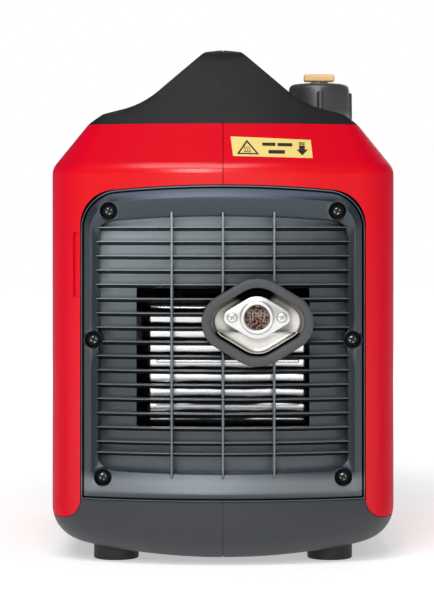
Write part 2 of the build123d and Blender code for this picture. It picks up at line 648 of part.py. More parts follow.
def top_end(crankcase_solid):
    """Finned cylinder, cylinder head, valve cover, spark plug and its cap."""
    barrel = cylinder_rod(29, 48, 118)
    for i in range(6):
        start = 64 + i * 9
        barrel += tilted_block((-42, -start - 3, -38), (42, -start, 38))
    barrel -= crankcase_solid - cylinder_rod(28.9, 30, 90)
    barrel += cylinder_rod(28.85, 44, 60)
    barrel = max((barrel - cylinder_rod(BORE_RADIUS, 30, 130)).solids(), key=lambda s: s.volume)
    head = tilted_block((-40, -140, -36), (40, -118, 36)) - cylinder_rod(BORE_RADIUS, 117, 121)
    for i in range(3):
        head += tilted_block((-45, -124 - i * 7, -40), (45, -121 - i * 7, 40))
    head -= cylinder_rod(BORE_RADIUS, 117, 121)
    plug_y = -130
    head -= TILT * rod_x(5.05, 25, 60, plug_y, 0)
    head -= TILT * rod_x(8.5, 35, 60, plug_y, 0)
    head -= TILT * rod_z(7.2, -45, -24, *EXHAUST_PORT[:2])
    cover = tilted_block((-36, -156, -32), (36, -140, 32))
    cover = round_edges(cover, cover.edges(), 5)
    plug = TILT * rod_x(5, 27, 35, plug_y, 0) + TILT * rod_x(8, 35, 48, plug_y, 0) + TILT * rod_x(4.5, 48, 66, plug_y, 0)
    cap = TILT * rod_x(9, 50, 78, plug_y, 0) - TILT * rod_x(4.6, 49, 67, plug_y, 0)
    return barrel, head, cover, plug, cap


def alternator():
    """Stator on the crankcase, magnet flywheel and cooling fan on the crankshaft."""
    y, z = CRANK
    stator = rod_x(58, 66, 90, y, z) + rod_x(26, 45, 90, y, z)
    poles = 24
    for i in range(poles):
        slot = Rot(360 * i / poles, 0, 0) * block((65, 34, -2.2), (91, 60, 2.2))
        stator -= Pos(0, y, z) * slot
    stator -= rod_x(9.5, 40, 95, y, z)
    flywheel = rod_x(70, 60, 101, y, z) - rod_x(59.5, 59, 94, y, z)
    for i in range(6):
        angle = math.radians(60 * i)
        flywheel -= rod_x(9, 90, 105, y + 40 * math.cos(angle), z + 40 * math.sin(angle))
    flywheel -= rod_x(8, 50, 110, y, z)
    fan = rod_x(66, 101, 103, y, z) + rod_x(20, 101, 114, y, z)
    blades = 12
    for i in range(blades):
        blade = Rot(360 * i / blades, 0, 0) * block((103, 30, -1.2), (113, 70, 1.2))
        fan += Pos(0, y, z) * blade
    return stator, flywheel, fan - rod_x(8, 90, 120, y, z)


def recoil_parts():
    """Fan shroud with the recoil post, the rope pulley, the grip and its pocket in the case."""
    y, z = CRANK
    shroud = rod_x(84, 56, 137, y, z) - rod_x(81.5, 55, 134.5, y, z)
    for i in range(16):
        slot = Rot(360 * i / 16, 0, 0) * block((130, 46, -3.5), (140, 74, 3.5))
        shroud -= Pos(0, y, z) * slot
    shroud += rod_x(6, 119, 136, y, z)
    pulley = rod_x(36, 118.5, 128.5, y, z) - rod_x(6.1, 110, 140, y, z)
    groove = rod_x(40, 121, 126, y, z) - rod_x(30, 120, 127, y, z)
    pulley -= groove
    pocket = outline(RECOIL_POCKET, 16)
    bezel = along_x(pocket, 121, 145) - along_x(offset(pocket, -2.5), 123.5, 150)
    bezel &= along_z(plan_outline(0), 20, CREASE_Z)
    grip_y, grip_z = 140.0, 215.0
    bezel -= rod_x(4.0, 100, 150, grip_y, grip_z)
    grip = block((126.5, grip_y - 11, grip_z - 41), (143.5, grip_y + 11, grip_z + 41))
    grip = round_edges(grip, grip.edges(), 6)
    for i in range(5):
        for side in (-1, 1):
            grip -= rod_x(2.2, 141.8, 150, grip_y, grip_z + side * (12 + i * 5.5))
    grip += rod_x(5.5, 123.8, 127.5, grip_y, grip_z)
    return shroud, pulley, bezel, grip


def fuel_and_air():
    """Carburettor, air cleaner box and the oil filler's dipstick."""
    carburettor = rounded_box((-96, -122, 178), (-68, -90, 210), 4) + rod_x(9, -70, -45.5, -106, 193)
    carburettor += rod_z(12, 160, 180, -82, -106) + rod_z(3.9, 208, 218.8, -84, -104)
    air_box = rounded_box((-118, -68, 192), (-54, 52, 262), 8)
    air_box -= rounded_box((-115.5, -65.5, 194.5), (-56.5, 49.5, 259.5), 6)
    air_box += rod_y(10, -90, -67, -82, 200) - rod_y(8, -95, -60, -82, 200)
    air_box -= rod_y(8, -95, -60, -82, 200)
    y, z = CRANK[0] + 38, CRANK[1] - 30
    dipstick = rod_x(8, -52, -38, y, z) + rod_x(13, -60, -45.5, y, z)
    dipstick += rod_x(2.0, -40, -30, y, z)
    for i in range(8):
        angle = 2 * math.pi * i / 8
        dipstick += rod_x(2.2, -59, -45.5, y + 12.4 * math.cos(angle), z + 12.4 * math.sin(angle))
    return carburettor, air_box, dipstick


def inverter_module():
    """A finned aluminium box behind the control panel."""
    module = block((-95, 128, 72), (95, 150, 158))
    for i in range(20):
        x = -93 + i * 9.6
        module += block((x, 108, 72), (x + 2.2, 129, 158))
    return module


# ---------------------------------------------------------------- control end

CONTROL_FACE = [(-96, 72), (96, 72), (96, 296), (-96, 296)]
DIAL = (-58.0, 250.0)
ECO = (58.0, 250.0)
BREAKER = (12.0, 246.0)
AC_OUTLETS = [(-50.0, 160.0), (4.0, 160.0)]
DC_SOCKET = (62.0, 168.0)
PARALLEL_JACKS = [(48.0, 118.0), (76.0, 118.0)]
GROUND = (62.0, 92.0)
LAMPS = [(-20.0, 268.0), (-6.0, 268.0), (8.0, 268.0)]
CONTROL_Y = 226.0  # the flat face that carries the controls


def control_panel():
    """The control end's panel: a curved frame around one flat recessed face."""
    face = outline(CONTROL_FACE, 14)
    panel = wall_patch(-1.0, WALL, panel_outline(), 1) - along_y(face, 100, CASE_LENGTH)
    panel += along_y(face, CONTROL_Y - 3, CONTROL_Y)
    wall = offset(face, 2.5) - face
    panel += along_y(wall, CONTROL_Y - 3, CASE_LENGTH) & along_z(plan_outline(-1.0), 20, CREASE_Z)
    holes = [(DIAL, 7.3), (BREAKER, 5.3), (DC_SOCKET, 13.2), (GROUND, 3.1)]
    holes += [(place, 4.3) for place in PARALLEL_JACKS] + [(place, 2.6) for place in LAMPS]
    for (x, z), radius in holes:
        panel -= rod_y(radius, 200, 260, x, z)
    for x, z in both_sides(SCREWS):
        panel -= rod_y(2.4, 150, 270, x, z)
        panel -= rod_y(SCREW_SEAT_RADIUS, -screw_seat_y(x) + 1, 270, x, z)
    panel -= block((ECO[0] - 7.3, 200, ECO[1] - 11.3), (ECO[0] + 7.3, 260, ECO[1] + 11.3))
    for x, z in AC_OUTLETS:
        panel -= along_y(Pos(x, z) * RectangleRounded(38.6, 46.6, 6), 200, 260)
    return panel


def control_screws():
    screws = []
    for x, z in both_sides(SCREWS):
        screw = cross_screw(x, z, screw_seat_y(x) - 1)
        screws.append(screw.mirror(Plane.XZ))
    return joined(screws)


def ac_outlets():
    """Two generic flush mains outlets with two blade slots and a round earth hole each."""
    made = []
    for x, z in AC_OUTLETS:
        body = along_y(Pos(x, z) * RectangleRounded(38, 46, 5.7), CONTROL_Y - 26, CONTROL_Y + 2)
        body += along_y(Pos(x, z) * RectangleRounded(42, 50, 7), CONTROL_Y - 5, CONTROL_Y - 3.0)
        for dx, height in ((-6.4, 8.6), (6.4, 7.0)):
            body -= block((x + dx - 1.1, CONTROL_Y - 18, z + 4 - height / 2), (x + dx + 1.1, CONTROL_Y + 3, z + 4 + height / 2))
        body -= rod_y(2.6, CONTROL_Y - 18, CONTROL_Y + 3, x, z - 9)
        made.append(body)
    return joined(made)


def dc_socket():
    x, z = DC_SOCKET
    socket = rod_y(13, CONTROL_Y - 36, CONTROL_Y + 1, x, z) + rod_y(16.5, CONTROL_Y, CONTROL_Y + 3, x, z)
    return socket - rod_y(10.5, CONTROL_Y - 32, CONTROL_Y + 4, x, z)


def parallel_jacks():
    made = []
    for x, z in PARALLEL_JACKS:
        jack = rod_y(4.2, CONTROL_Y - 20, CONTROL_Y + 1, x, z) + rod_y(6.5, CONTROL_Y, CONTROL_Y + 5, x, z)
        made.append(jack - rod_y(2.05, CONTROL_Y - 17, CONTROL_Y + 6, x, z))
    return joined(made)


def ground_terminal():
    x, z = GROUND
    stud = rod_y(3.0, CONTROL_Y - 12, CONTROL_Y + 15, x, z)
    nut = along_y(Pos(x, z) * RegularPolygon(6.2, 6), CONTROL_Y, CONTROL_Y + 5)
    washer_back = along_y(Pos(x, z) * RegularPolygon(6.2, 6), CONTROL_Y - 8, CONTROL_Y - 3)
    return stud + nut + washer_back


def small_controls():
    """Breaker button, eco rocker, engine dial and the status lamps."""
    x, z = BREAKER
    breaker = rod_y(5.2, CONTROL_Y - 10, CONTROL_Y + 4, x, z)
    breaker = round_edges(breaker, breaker.faces().sort_by(Axis.Y)[-1].edges(), 1.0)
    breaker += rod_y(7.5, CONTROL_Y - 10, CONTROL_Y - 7.5, x, z)
    x, z = ECO
    profile = make_face(
        Polyline(
            (CONTROL_Y - 6, z - 10), (CONTROL_Y + 1.0, z - 10), (CONTROL_Y + 2.6, z),
            (CONTROL_Y + 5.2, z + 10), (CONTROL_Y - 6, z + 10), close=True,
        )
    )
    rocker = along_x(fillet(profile.vertices(), 0.8), x - 7, x + 7)
    x, z = DIAL
    dial = rod_y(7.0, CONTROL_Y - 12, CONTROL_Y + 1, x, z) + rod_y(21, CONTROL_Y + 0.5, CONTROL_Y + 6, x, z)
    dial = dial + block((x - 4.5, CONTROL_Y + 5, z - 19), (x + 4.5, -GROMMET_FACE_Y, z + 19))
    dial = round_edges(dial, dial.faces().sort_by(Axis.Y)[-1].edges(), 2.0)
    lamps = []
    for x, z in LAMPS:
        lamp = rod_y(2.5, CONTROL_Y - 5, CONTROL_Y + 0.8, x, z)
        lamps.append(round_edges(lamp, lamp.faces().sort_by(Axis.Y)[-1].edges(), 0.7))
    return breaker, rocker, dial, joined(lamps)


# ---------------------------------------------------------------- everything


def main():
    left_shell, right_shell = coloured_shells()
    cover, latch = service_cover()
    base_left, base_right = base_halves()
    feet, foot_bolts = feet_and_bolts()
    top_left, top_right = top_cover_halves()
    write("left_shell", left_shell)
    write("right_shell", right_shell)
    write("service_cover", cover)
    write("cover_latch", latch)
    write("base_left", base_left)
    write("base_right", base_right)
    write("feet", feet)
    write("foot_bolts", foot_bolts)
    write("top_cover_left", top_left)
    write("top_cover_right", top_right)

    write("rear_grille", rear_grille())
    write("grille_screws", joined([cross_screw(x, z, screw_seat_y(x)) for x, z in both_sides(SCREWS)]))
    names = ("exhaust_grommet", "outlet_dish", "outlet_flange", "spark_screen", "outlet_screws")
    for name, piece in zip(names, exhaust_outlet()):
        write(name, piece)
    for name, piece in zip(("muffler", "heat_shield", "rear_duct", "exhaust_pipe"), exhaust_box()):
        write(name, piece)
    write("hot_label", hot_label())

    write("fuel_tank", fuel_tank())
    write("fuel_hose", fuel_hose())
    for name, piece in zip(("cap_insert", "fuel_cap", "vent_lever"), fuel_cap_parts()):
        write(name, piece)

    crankcase, crankcase_solid, bearings, crankshaft = crankcase_parts()
    write("crankcase", crankcase)
    write("main_bearings", bearings)
    write("crankshaft", crankshaft)
    for name, piece in zip(("piston", "connecting_rod", "rod_pins"), piston_and_rod()):
        write(name, piece)
    names = ("cylinder", "cylinder_head", "valve_cover", "spark_plug", "plug_cap")
    for name, piece in zip(names, top_end(crankcase_solid)):
        write(name, piece)
    for name, piece in zip(("stator", "flywheel", "cooling_fan"), alternator()):
        write(name, piece)
    for name, piece in zip(("fan_shroud", "recoil_pulley", "recoil_bezel", "recoil_grip"), recoil_parts()):
        write(name, piece)
    for name, piece in zip(("carburettor", "air_box", "oil_dipstick"), fuel_and_air()):
        write(name, piece)
    write("inverter_module", inverter_module())

    write("control_panel", control_panel())
    write("panel_screws", control_screws())
    write("ac_outlets", ac_outlets())
    write("dc_socket", dc_socket())
    write("parallel_jacks", parallel_jacks())
    write("ground_terminal", ground_terminal())
    for name, piece in zip(("breaker_button", "eco_switch", "engine_dial", "status_lamps"), small_controls()):
        write(name, piece)


main()
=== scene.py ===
import math

import bmesh
import bpy
from mathutils import Matrix, Vector


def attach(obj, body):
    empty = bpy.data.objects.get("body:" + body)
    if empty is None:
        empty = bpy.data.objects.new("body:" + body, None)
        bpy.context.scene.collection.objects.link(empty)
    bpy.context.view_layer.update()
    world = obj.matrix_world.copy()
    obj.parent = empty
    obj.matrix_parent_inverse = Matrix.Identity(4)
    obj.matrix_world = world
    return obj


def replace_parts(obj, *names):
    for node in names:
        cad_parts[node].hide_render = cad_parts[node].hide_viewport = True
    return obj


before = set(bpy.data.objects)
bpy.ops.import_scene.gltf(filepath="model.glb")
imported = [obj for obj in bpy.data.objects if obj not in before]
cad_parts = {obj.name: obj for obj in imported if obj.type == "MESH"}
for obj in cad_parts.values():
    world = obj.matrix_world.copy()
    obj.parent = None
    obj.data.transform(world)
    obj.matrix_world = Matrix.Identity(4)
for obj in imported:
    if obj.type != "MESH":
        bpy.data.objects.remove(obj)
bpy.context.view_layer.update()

# A portable generator, seen from its exhaust end. Shapes are given in millimetres; light, camera and material
# values are in metres.
mm = 0.001
print("frame loaded:", len(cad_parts), "nodes")


# camera, lights and floor

cameraValues = {"place": (0.0, -2.246, 0.278), "lens": 144.4, "shiftX": -0.0099, "shiftY": -0.1205}


def makeCamera(values):
    data = bpy.data.cameras.new("camera")
    data.sensor_width = 36
    data.lens = values["lens"]
    data.shift_x = values["shiftX"]
    data.shift_y = values["shiftY"]
    data.clip_start = 0.05
    data.clip_end = 50
    camera = looseObject("camera", data)
    camera.location = values["place"]
    camera.rotation_euler = (math.radians(90), 0, 0)  # level, along +Y
    bpy.context.scene.camera = camera


lightValues = {
    "keyBox": {"place": (-0.42, -2.7, 1.22), "aim": (0, -0.2, 0.22), "size": (0.6, 0.6), "power": 17},
    "topStrip": {"place": (-0.35, -1.55, 2.0), "aim": (0, -0.2, 0.3), "size": (1.4, 1.1), "power": 30},
    "frontPanel": {"place": (0.2, -4.4, 0.9), "aim": (0, -0.2, 0.25), "size": (3.4, 2.2), "power": 7},
    "backBox": {"place": (0.6, 2.6, 1.3), "aim": (0, 0, 0.25), "size": (1.8, 1.6), "power": 18},
}


def makeLight(name, values):
    data = bpy.data.lights.new(name, "AREA")
    data.shape = "RECTANGLE"
    data.size, data.size_y = values["size"]
    data.energy = values["power"]
    light = looseObject(name, data)
    light.location = values["place"]
    direction = Vector(values["aim"]) - Vector(values["place"])
    light.rotation_euler = direction.to_track_quat("-Z", "Y").to_euler()
    light.visible_camera = False


worldValues = {"seen": 1.0, "shining": 0.16}


def makeWorld(values):
    # the studio is white where the camera sees it and softer where it lights the object
    world = bpy.data.worlds.new("studio")
    bpy.context.scene.world = world
    world.use_nodes = True
    tree = world.node_tree
    tree.nodes.clear()
    white = addNode(tree, "ShaderNodeBackground", {"Color": (1, 1, 1, 1), "Strength": values["seen"]})
    soft = addNode(tree, "ShaderNodeBackground", {"Color": (0.97, 0.985, 1, 1), "Strength": values["shining"]})
    seen = addNode(tree, "ShaderNodeLightPath").outputs["Is Camera Ray"]
    mix = addNode(tree, "ShaderNodeMixShader", {0: seen, 1: soft.outputs[0], 2: white.outputs[0]})
    addNode(tree, "ShaderNodeOutputWorld", {0: mix.outputs[0]})


floorValues = {"halfSide": 9.0, "nearGlow": 0.45, "farGlow": 0.95, "nearEdge": 0.35, "farEdge": 2.2}


def makeFloor(values):
    half = values["halfSide"]
    mesh = bpy.data.meshes.new("floor")
    corners = [(-half, -half, 0), (half, -half, 0), (half, half, 0), (-half, half, 0)]
    mesh.from_pydata(corners, [], [(0, 1, 2, 3)])
    floor = looseObject("floor", mesh)
    material, tree, shader = newMaterial("paleFloor", {"Base Color": (0.9, 0.9, 0.9, 1), "Roughness": 0.8,
                                                       "Emission Color": (1, 1, 1, 1)})
    reach = addNode(tree, "ShaderNodeVectorMath", {0: objectPlace(tree)}, operation="LENGTH")
    glow = mapped(tree, reach.outputs["Value"], values["nearGlow"], values["farGlow"],
                  values["nearEdge"], values["farEdge"])
    tree.links.new(glow, shader.inputs["Emission Strength"])
    mesh.materials.append(material)


# node helpers


def fillInputs(tree, node, inputs):
    # a value that is a socket of another node is linked, any other value is set
    for name, value in inputs.items():
        if isinstance(value, bpy.types.NodeSocket):
            tree.links.new(value, node.inputs[name])
        else:
            node.inputs[name].default_value = value


def addNode(tree, kind, inputs=None, **settings):
    node = tree.nodes.new(kind)
    for name, value in settings.items():
        setattr(node, name, value)
    fillInputs(tree, node, inputs or {})
    return node


def objectPlace(tree):
    return addNode(tree, "ShaderNodeTexCoord").outputs["Object"]


def mapped(tree, source, low, high, start=0.0, end=1.0):
    # low where source is start, high where it is end
    node = addNode(tree, "ShaderNodeMapRange", {"Value": source, "From Min": start, "From Max": end,
                                                "To Min": low, "To Max": high})
    return node.outputs["Result"]


def noise(tree, place, scale, detail, roughness=0.5):
    inputs = {"Vector": place, "Scale": scale, "Detail": detail, "Roughness": roughness}
    return addNode(tree, "ShaderNodeTexNoise", inputs).outputs["Fac"]


def product(tree, first, second):
    return addNode(tree, "ShaderNodeMath", {0: first, 1: second}, operation="MULTIPLY").outputs[0]


def mixColour(tree, factor, first, second):
    # a colour mix whose factor is a socket and whose colours are sockets or plain values
    colours = [(*value, 1) if isinstance(value, tuple) else value for value in (first, second)]
    node = addNode(tree, "ShaderNodeMix", data_type="RGBA")
    fillInputs(tree, node, {"Factor": factor, "A": colours[0], "B": colours[1]})
    return node.outputs["Result"]


def newMaterial(name, values):
    material = bpy.data.materials.new(name)
    material.use_nodes = True
    tree = material.node_tree
    shader = tree.nodes["Principled BSDF"]
    fillInputs(tree, shader, values)
    return material, tree, shader


def newGroup(name, inputs, outputs):
    # inputs gives each socket's first value; only a normal and a stretch are vectors
    group = bpy.data.node_groups.new(name, "ShaderNodeTree")
    for socketName, value in inputs.items():
        kind = "NodeSocketVector" if isinstance(value, tuple) else "NodeSocketFloat"
        group.interface.new_socket(socketName, in_out="INPUT", socket_type=kind).default_value = value
    for socketName in outputs:
        kind = "NodeSocketVector" if socketName == "Normal" else "NodeSocketFloat"
        group.interface.new_socket(socketName, in_out="OUTPUT", socket_type=kind)
    return group, group.nodes.new("NodeGroupInput").outputs, group.nodes.new("NodeGroupOutput")


def useGroup(tree, group, values):
    return addNode(tree, "ShaderNodeGroup", values, node_tree=group)


# shared surface effects


def makeMouldGrain():
    # a spark-eroded mould texture: fine grains over slow waves
    group, given, out = newGroup("mouldGrain", {"Grain Scale": 1600, "Grain Depth": 0.2, "Wave Scale": 30,
                                                "Wave Depth": 0.1}, ("Normal", "Mottle"))
    place = objectPlace(group)
    grain = noise(group, place, given["Grain Scale"], 3.0, 0.6)
    wave = noise(group, place, given["Wave Scale"], 2.0)
    slow = addNode(group, "ShaderNodeBump", {"Distance": 0.003, "Strength": given["Wave Depth"], "Height": wave})
    fine = addNode(group, "ShaderNodeBump", {"Distance": 0.0004, "Strength": given["Grain Depth"], "Height": grain,
                                             "Normal": slow.outputs["Normal"]})
    fillInputs(group, out, {"Normal": fine.outputs["Normal"], "Mottle": wave})
    return group


def makeEdgeWear():
    # lighter, smoother corners where hands and boots rub
    group, given, out = newGroup("edgeWear", {"Start": 0.53, "End": 0.62, "Patchiness": 40}, ("Mask",))
    patches = noise(group, objectPlace(group), given["Patchiness"], 4.0)
    corner = addNode(group, "ShaderNodeNewGeometry").outputs["Pointiness"]
    edge = mapped(group, corner, 0.0, 1.0, given["Start"], given["End"])
    fillInputs(group, out, {"Mask": product(group, edge, patches)})
    return group


def facingUp(group):
    normal = addNode(group, "ShaderNodeNewGeometry").outputs["Normal"]
    return addNode(group, "ShaderNodeSeparateXYZ", {0: normal}).outputs["Z"]


def makeDustFilm():
    # a thin film that settles on faces that look up
    group, given, out = newGroup("dustFilm", {"Amount": 0.2, "Scale": 25}, ("Mask",))
    clouds = noise(group, objectPlace(group), given["Scale"], 5.0, 0.7)
    up = mapped(group, facingUp(group), 0.0, 1.0, 0.3, 1.0)
    patch = mapped(group, clouds, 0.0, 1.0, 0.4, 0.75)
    fillInputs(group, out, {"Mask": product(group, product(group, up, patch), given["Amount"])})
    return group


def makeBrushedLines():
    # fine scratches that run one way, for turned and brushed metal
    group, given, out = newGroup("brushedLines", {"Stretch": (1, 1, 1), "Scale": 400, "Depth": 0.1},
                                 ("Normal", "Streaks"))
    stretch = addNode(group, "ShaderNodeVectorMath", {0: objectPlace(group), 1: given["Stretch"]},
                      operation="MULTIPLY")
    lines = noise(group, stretch.outputs[0], given["Scale"], 6.0, 0.65)
    bump = addNode(group, "ShaderNodeBump", {"Distance": 0.0002, "Strength": given["Depth"], "Height": lines})
    fillInputs(group, out, {"Normal": bump.outputs["Normal"], "Streaks": lines})
    return group


def makeCrevice():
    # painted shade in narrow gaps, where little light reaches
    group, given, out = newGroup("crevice", {"Reach": 0.004}, ("Mask",))
    around = addNode(group, "ShaderNodeAmbientOcclusion", {"Distance": given["Reach"]}, samples=8)
    fillInputs(group, out, {"Mask": mapped(group, around.outputs["AO"], 0.0, 1.0, 0.85, 0.4)})
    return group


def makeUnderside():
    # painted shade on faces that look down
    group, given, out = newGroup("underside", {"Start": -0.02, "End": -0.16}, ("Mask",))
    fillInputs(group, out, {"Mask": mapped(group, facingUp(group), 0.0, 1.0, given["Start"], given["End"])})
    return group


mouldGrain = makeMouldGrain()
crevice = makeCrevice()
underside = makeUnderside()
edgeWear = makeEdgeWear()
dustFilm = makeDustFilm()
brushedLines = makeBrushedLines()


# materials

plasticValues = {"grain": 0.25, "grainScale": 1500, "wave": 0.05, "waveScale": 22, "wear": 0.5, "dust": 0.12,
                 "dustColour": (0.35, 0.34, 0.32), "coat": 0.0, "coatRoughness": 0.12, "coatEnd": 0.4,
                 "specular": 0.5, "shineTint": (1, 1, 1), "toneShift": 0.12, "sideTint": None, "gaps": 0.0,
                 "gapReach": 0.004, "gapColour": (0.001, 0.001, 0.0015), "under": 0.0, "fades": ()}


def fadeAlong(tree, direction, start, end):
    # grows from nothing at start to one at end, both measured along a direction
    along = addNode(tree, "ShaderNodeVectorMath", {0: objectPlace(tree), 1: direction}, operation="DOT_PRODUCT")
    return mapped(tree, along.outputs["Value"], 0.0, 1.0, start, end)


def mouldedPlastic(name, colour, worn, roughness, **more):
    # moulded plastic: grain, slow tone changes, rubbed edges, a little dust, painted shade in gaps and painted
    # light fades
    values = {**plasticValues, **more}
    specular = values["specular"]
    material, tree, shader = newMaterial(name, {"Roughness": roughness, "Specular IOR Level": specular,
                                                "Specular Tint": (*values["shineTint"], 1)})
    if values["coat"]:
        fillInputs(tree, shader, {"Coat Weight": values["coat"], "Coat Roughness": values["coatRoughness"]})
    grain = useGroup(tree, mouldGrain, {"Grain Scale": values["grainScale"], "Grain Depth": values["grain"],
                                        "Wave Scale": values["waveScale"], "Wave Depth": values["wave"]})
    wear = useGroup(tree, edgeWear, {})
    dust = useGroup(tree, dustFilm, {"Amount": values["dust"]})
    darker = tuple(c * (1 - values["toneShift"]) for c in colour)
    toned = mixColour(tree, grain.outputs["Mottle"], darker, colour)
    # painted light: each fade lightens or darkens the colour along a direction, where light falls more or less
    for direction, start, end, other in values["fades"]:
        toned = mixColour(tree, fadeAlong(tree, direction, start, end), toned, other)
    rubbed = mixColour(tree, mapped(tree, wear.outputs["Mask"], 0.0, values["wear"]), toned, worn)
    dusty = mixColour(tree, dust.outputs["Mask"], rubbed, values["dustColour"])
    # painted reflection tint: another tone on faces that turn away, where the coat also fades
    if values["sideTint"]:  # another tone, and no coat, on faces that turn away
        turned = addNode(tree, "ShaderNodeLayerWeight", {"Blend": 0.5}).outputs["Facing"]
        dusty = mixColour(tree, turned, dusty, values["sideTint"])
        coat = mapped(tree, turned, values["coat"], 0.0, 0.0, values["coatEnd"])
        fillInputs(tree, shader, {"Coat Weight": coat})
    # painted shade: dark colour and less shine in narrow gaps and, where asked, on faces that look down
    if values["gaps"]:
        shade = useGroup(tree, crevice, {"Reach": values["gapReach"]}).outputs["Mask"]
        if values["under"]:
            below = mapped(tree, useGroup(tree, underside, {}).outputs["Mask"], 0.0, values["under"])
            shade = addNode(tree, "ShaderNodeMath", {0: shade, 1: below}, operation="MAXIMUM").outputs[0]
        dusty = mixColour(tree, mapped(tree, shade, 0.0, values["gaps"]), dusty, values["gapColour"])
        dull = mapped(tree, shade, specular, specular * (1 - values["gaps"]))
        fillInputs(tree, shader, {"Specular IOR Level": dull})
    uneven = mapped(tree, grain.outputs["Mottle"], roughness - 0.05, roughness + 0.07)
    fillInputs(tree, shader, {"Base Color": dusty, "Roughness": uneven, "Normal": grain.outputs["Normal"]})
    return material


plumeValues = {"centre": (0.026, 0.231), "near": 0.016, "far": 0.021, "raggedScale": 120, "raggedness": 0.008}


def sootPlume(tree, values):
    # a ragged round patch of painted shadow, the same at every depth
    place = objectPlace(tree)
    x, z = values["centre"]
    flat = addNode(tree, "ShaderNodeVectorMath", {0: place, 1: (1, 0, 1)}, operation="MULTIPLY")
    offset = addNode(tree, "ShaderNodeVectorMath", {0: flat.outputs[0], 1: (x, 0, z)}, operation="DISTANCE")
    ragged = noise(tree, place, values["raggedScale"], 3.0)
    wander = addNode(tree, "ShaderNodeMath", {0: ragged, 1: values["raggedness"], 2: offset.outputs["Value"]},
                     operation="MULTIPLY_ADD")
    middle = values["raggedness"] / 2
    return mapped(tree, wander.outputs[0], 0.0, 1.0, values["far"] + middle, values["near"] + middle)


bandValues = {"scale": 0.314 / 0.0123,  # a band every 12.3 mm
              "patchScale": 22, "patchShare": 0.9, "dark": 0.95, "bright": 1.2}


def pressedBands(tree, values):
    # painted reflection of the slats: bright strips with dark between, broken up sideways
    place = objectPlace(tree)
    bands = addNode(tree, "ShaderNodeTexWave", {"Vector": place, "Scale": values["scale"], "Distortion": 0.8,
                                                "Detail Scale": 1.0}, bands_direction="Z")
    broken = noise(tree, place, values["patchScale"], 2.0)
    both = addNode(tree, "ShaderNodeMath", {0: broken, 1: values["patchShare"], 2: bands.outputs["Fac"]},
                   operation="MULTIPLY_ADD")
    return mapped(tree, both.outputs[0], 0.0, 1.0, values["dark"], values["bright"])


metalValues = {"stretch": (1, 1, 1), "scale": 350, "depth": 0.08, "stain": (0.5, 0.45, 0.38), "stainAmount": 0.15,
               "spread": 0.08, "cloudScale": 35, "metallic": 1.0, "gaps": 0.0, "gapReach": 0.004,
               "soot": (0.006, 0.006, 0.007), "plume": None, "bands": None}


def metal(name, colour, roughness, **more):
    # bare metal: brushed lines, tone streaks, slight stains, painted shade in gaps and patches, and painted
    # reflection strips
    values = {**metalValues, **more}
    material, tree, shader = newMaterial(name, {"Metallic": values["metallic"], "Roughness": roughness})
    lines = useGroup(tree, brushedLines, {"Stretch": values["stretch"], "Scale": values["scale"],
                                          "Depth": values["depth"]})
    clouds = useGroup(tree, mouldGrain, {"Wave Scale": values["cloudScale"], "Wave Depth": 0.0,
                                         "Grain Depth": 0.0})
    stains = mapped(tree, clouds.outputs["Mottle"], 0.0, values["stainAmount"])
    stained = mixColour(tree, stains, colour, values["stain"])
    darker = tuple(c * 0.86 for c in colour)
    finish = mixColour(tree, mapped(tree, lines.outputs["Streaks"], 0.0, 0.5), stained, darker)
    soot = values["soot"]
    # painted shade in narrow gaps
    if values["gaps"]:
        shade = useGroup(tree, crevice, {"Reach": values["gapReach"]}).outputs["Mask"]
        finish = mixColour(tree, mapped(tree, shade, 0.0, values["gaps"]), finish, soot)
    # painted shadow patch
    if values["plume"]:
        finish = mixColour(tree, sootPlume(tree, values["plume"]), finish, soot)
    # painted reflection strips, dark between bright
    if values["bands"]:
        finish = mixColour(tree, pressedBands(tree, values["bands"]), soot, finish)
    low, high = max(0.02, roughness - values["spread"]), roughness + values["spread"]
    fillInputs(tree, shader, {"Base Color": finish, "Normal": lines.outputs["Normal"],
                              "Roughness": mapped(tree, lines.outputs["Streaks"], low, high)})
    return material


# the red case has a painted reflection tint, a darker magenta red, on faces that turn away
redCase = mouldedPlastic("redCase", (0.70, 0.0, 0.004), (0.8, 0.01, 0.02), 0.45, grain=0.05, wave=0.03, wear=0.15,
                         dust=0.0, toneShift=0.04, specular=0.06, sideTint=(0.66, 0.0, 0.03), coat=0.9,
                         coatRoughness=0.22)
seamRed = mouldedPlastic("seamRed", (0.12, 0.0, 0.002), (0.2, 0.0, 0.004), 0.6, grain=0.05, dust=0.0,
                         specular=0.1)
coverCharcoal = mouldedPlastic("coverCharcoal", (0.010, 0.0105, 0.012), (0.07, 0.07, 0.075), 0.5, grain=0.6,
                               specular=0.25, dust=0.02)
baseGrey = mouldedPlastic("baseGrey", (0.031, 0.035, 0.041), (0.10, 0.10, 0.105), 0.5, grain=0.45, dust=0.06)
# painted shade in the grille's narrow gaps
slateLook = {"grain": 0.3, "dust": 0.03, "specular": 0.75, "shineTint": (0.78, 0.9, 1.0), "gaps": 0.95,
             "gapReach": 0.003}
# painted light on the slats and duct plate, growing towards the upper left
bleached = ((-0.6, 0.0, 1.2), 0.27, 0.39)
# painted sheen on the grille frame: a lighter top band and a lighter bottom lip
grilleSlate = mouldedPlastic("grilleSlate", (0.017, 0.023, 0.030), (0.28, 0.31, 0.34), 0.33, **slateLook, wear=0.9,
                             fades=(((0, 0, 1), 0.303, 0.307, (0.07, 0.095, 0.125)),
                                    ((0, 0, -1), -0.078, -0.070, (0.16, 0.175, 0.185)),
                                    ((0, 0, -1), -0.063, -0.060, (0.05, 0.056, 0.064))))
# slats and uprights: the grille plastic painted lighter as their lit fronts, with painted shade on their
# undersides
slatSlate = mouldedPlastic("slatSlate", (0.12, 0.14, 0.155), (0.35, 0.37, 0.38), 0.33, **slateLook, under=1.0,
                           fades=((*bleached, (0.40, 0.44, 0.46)),))
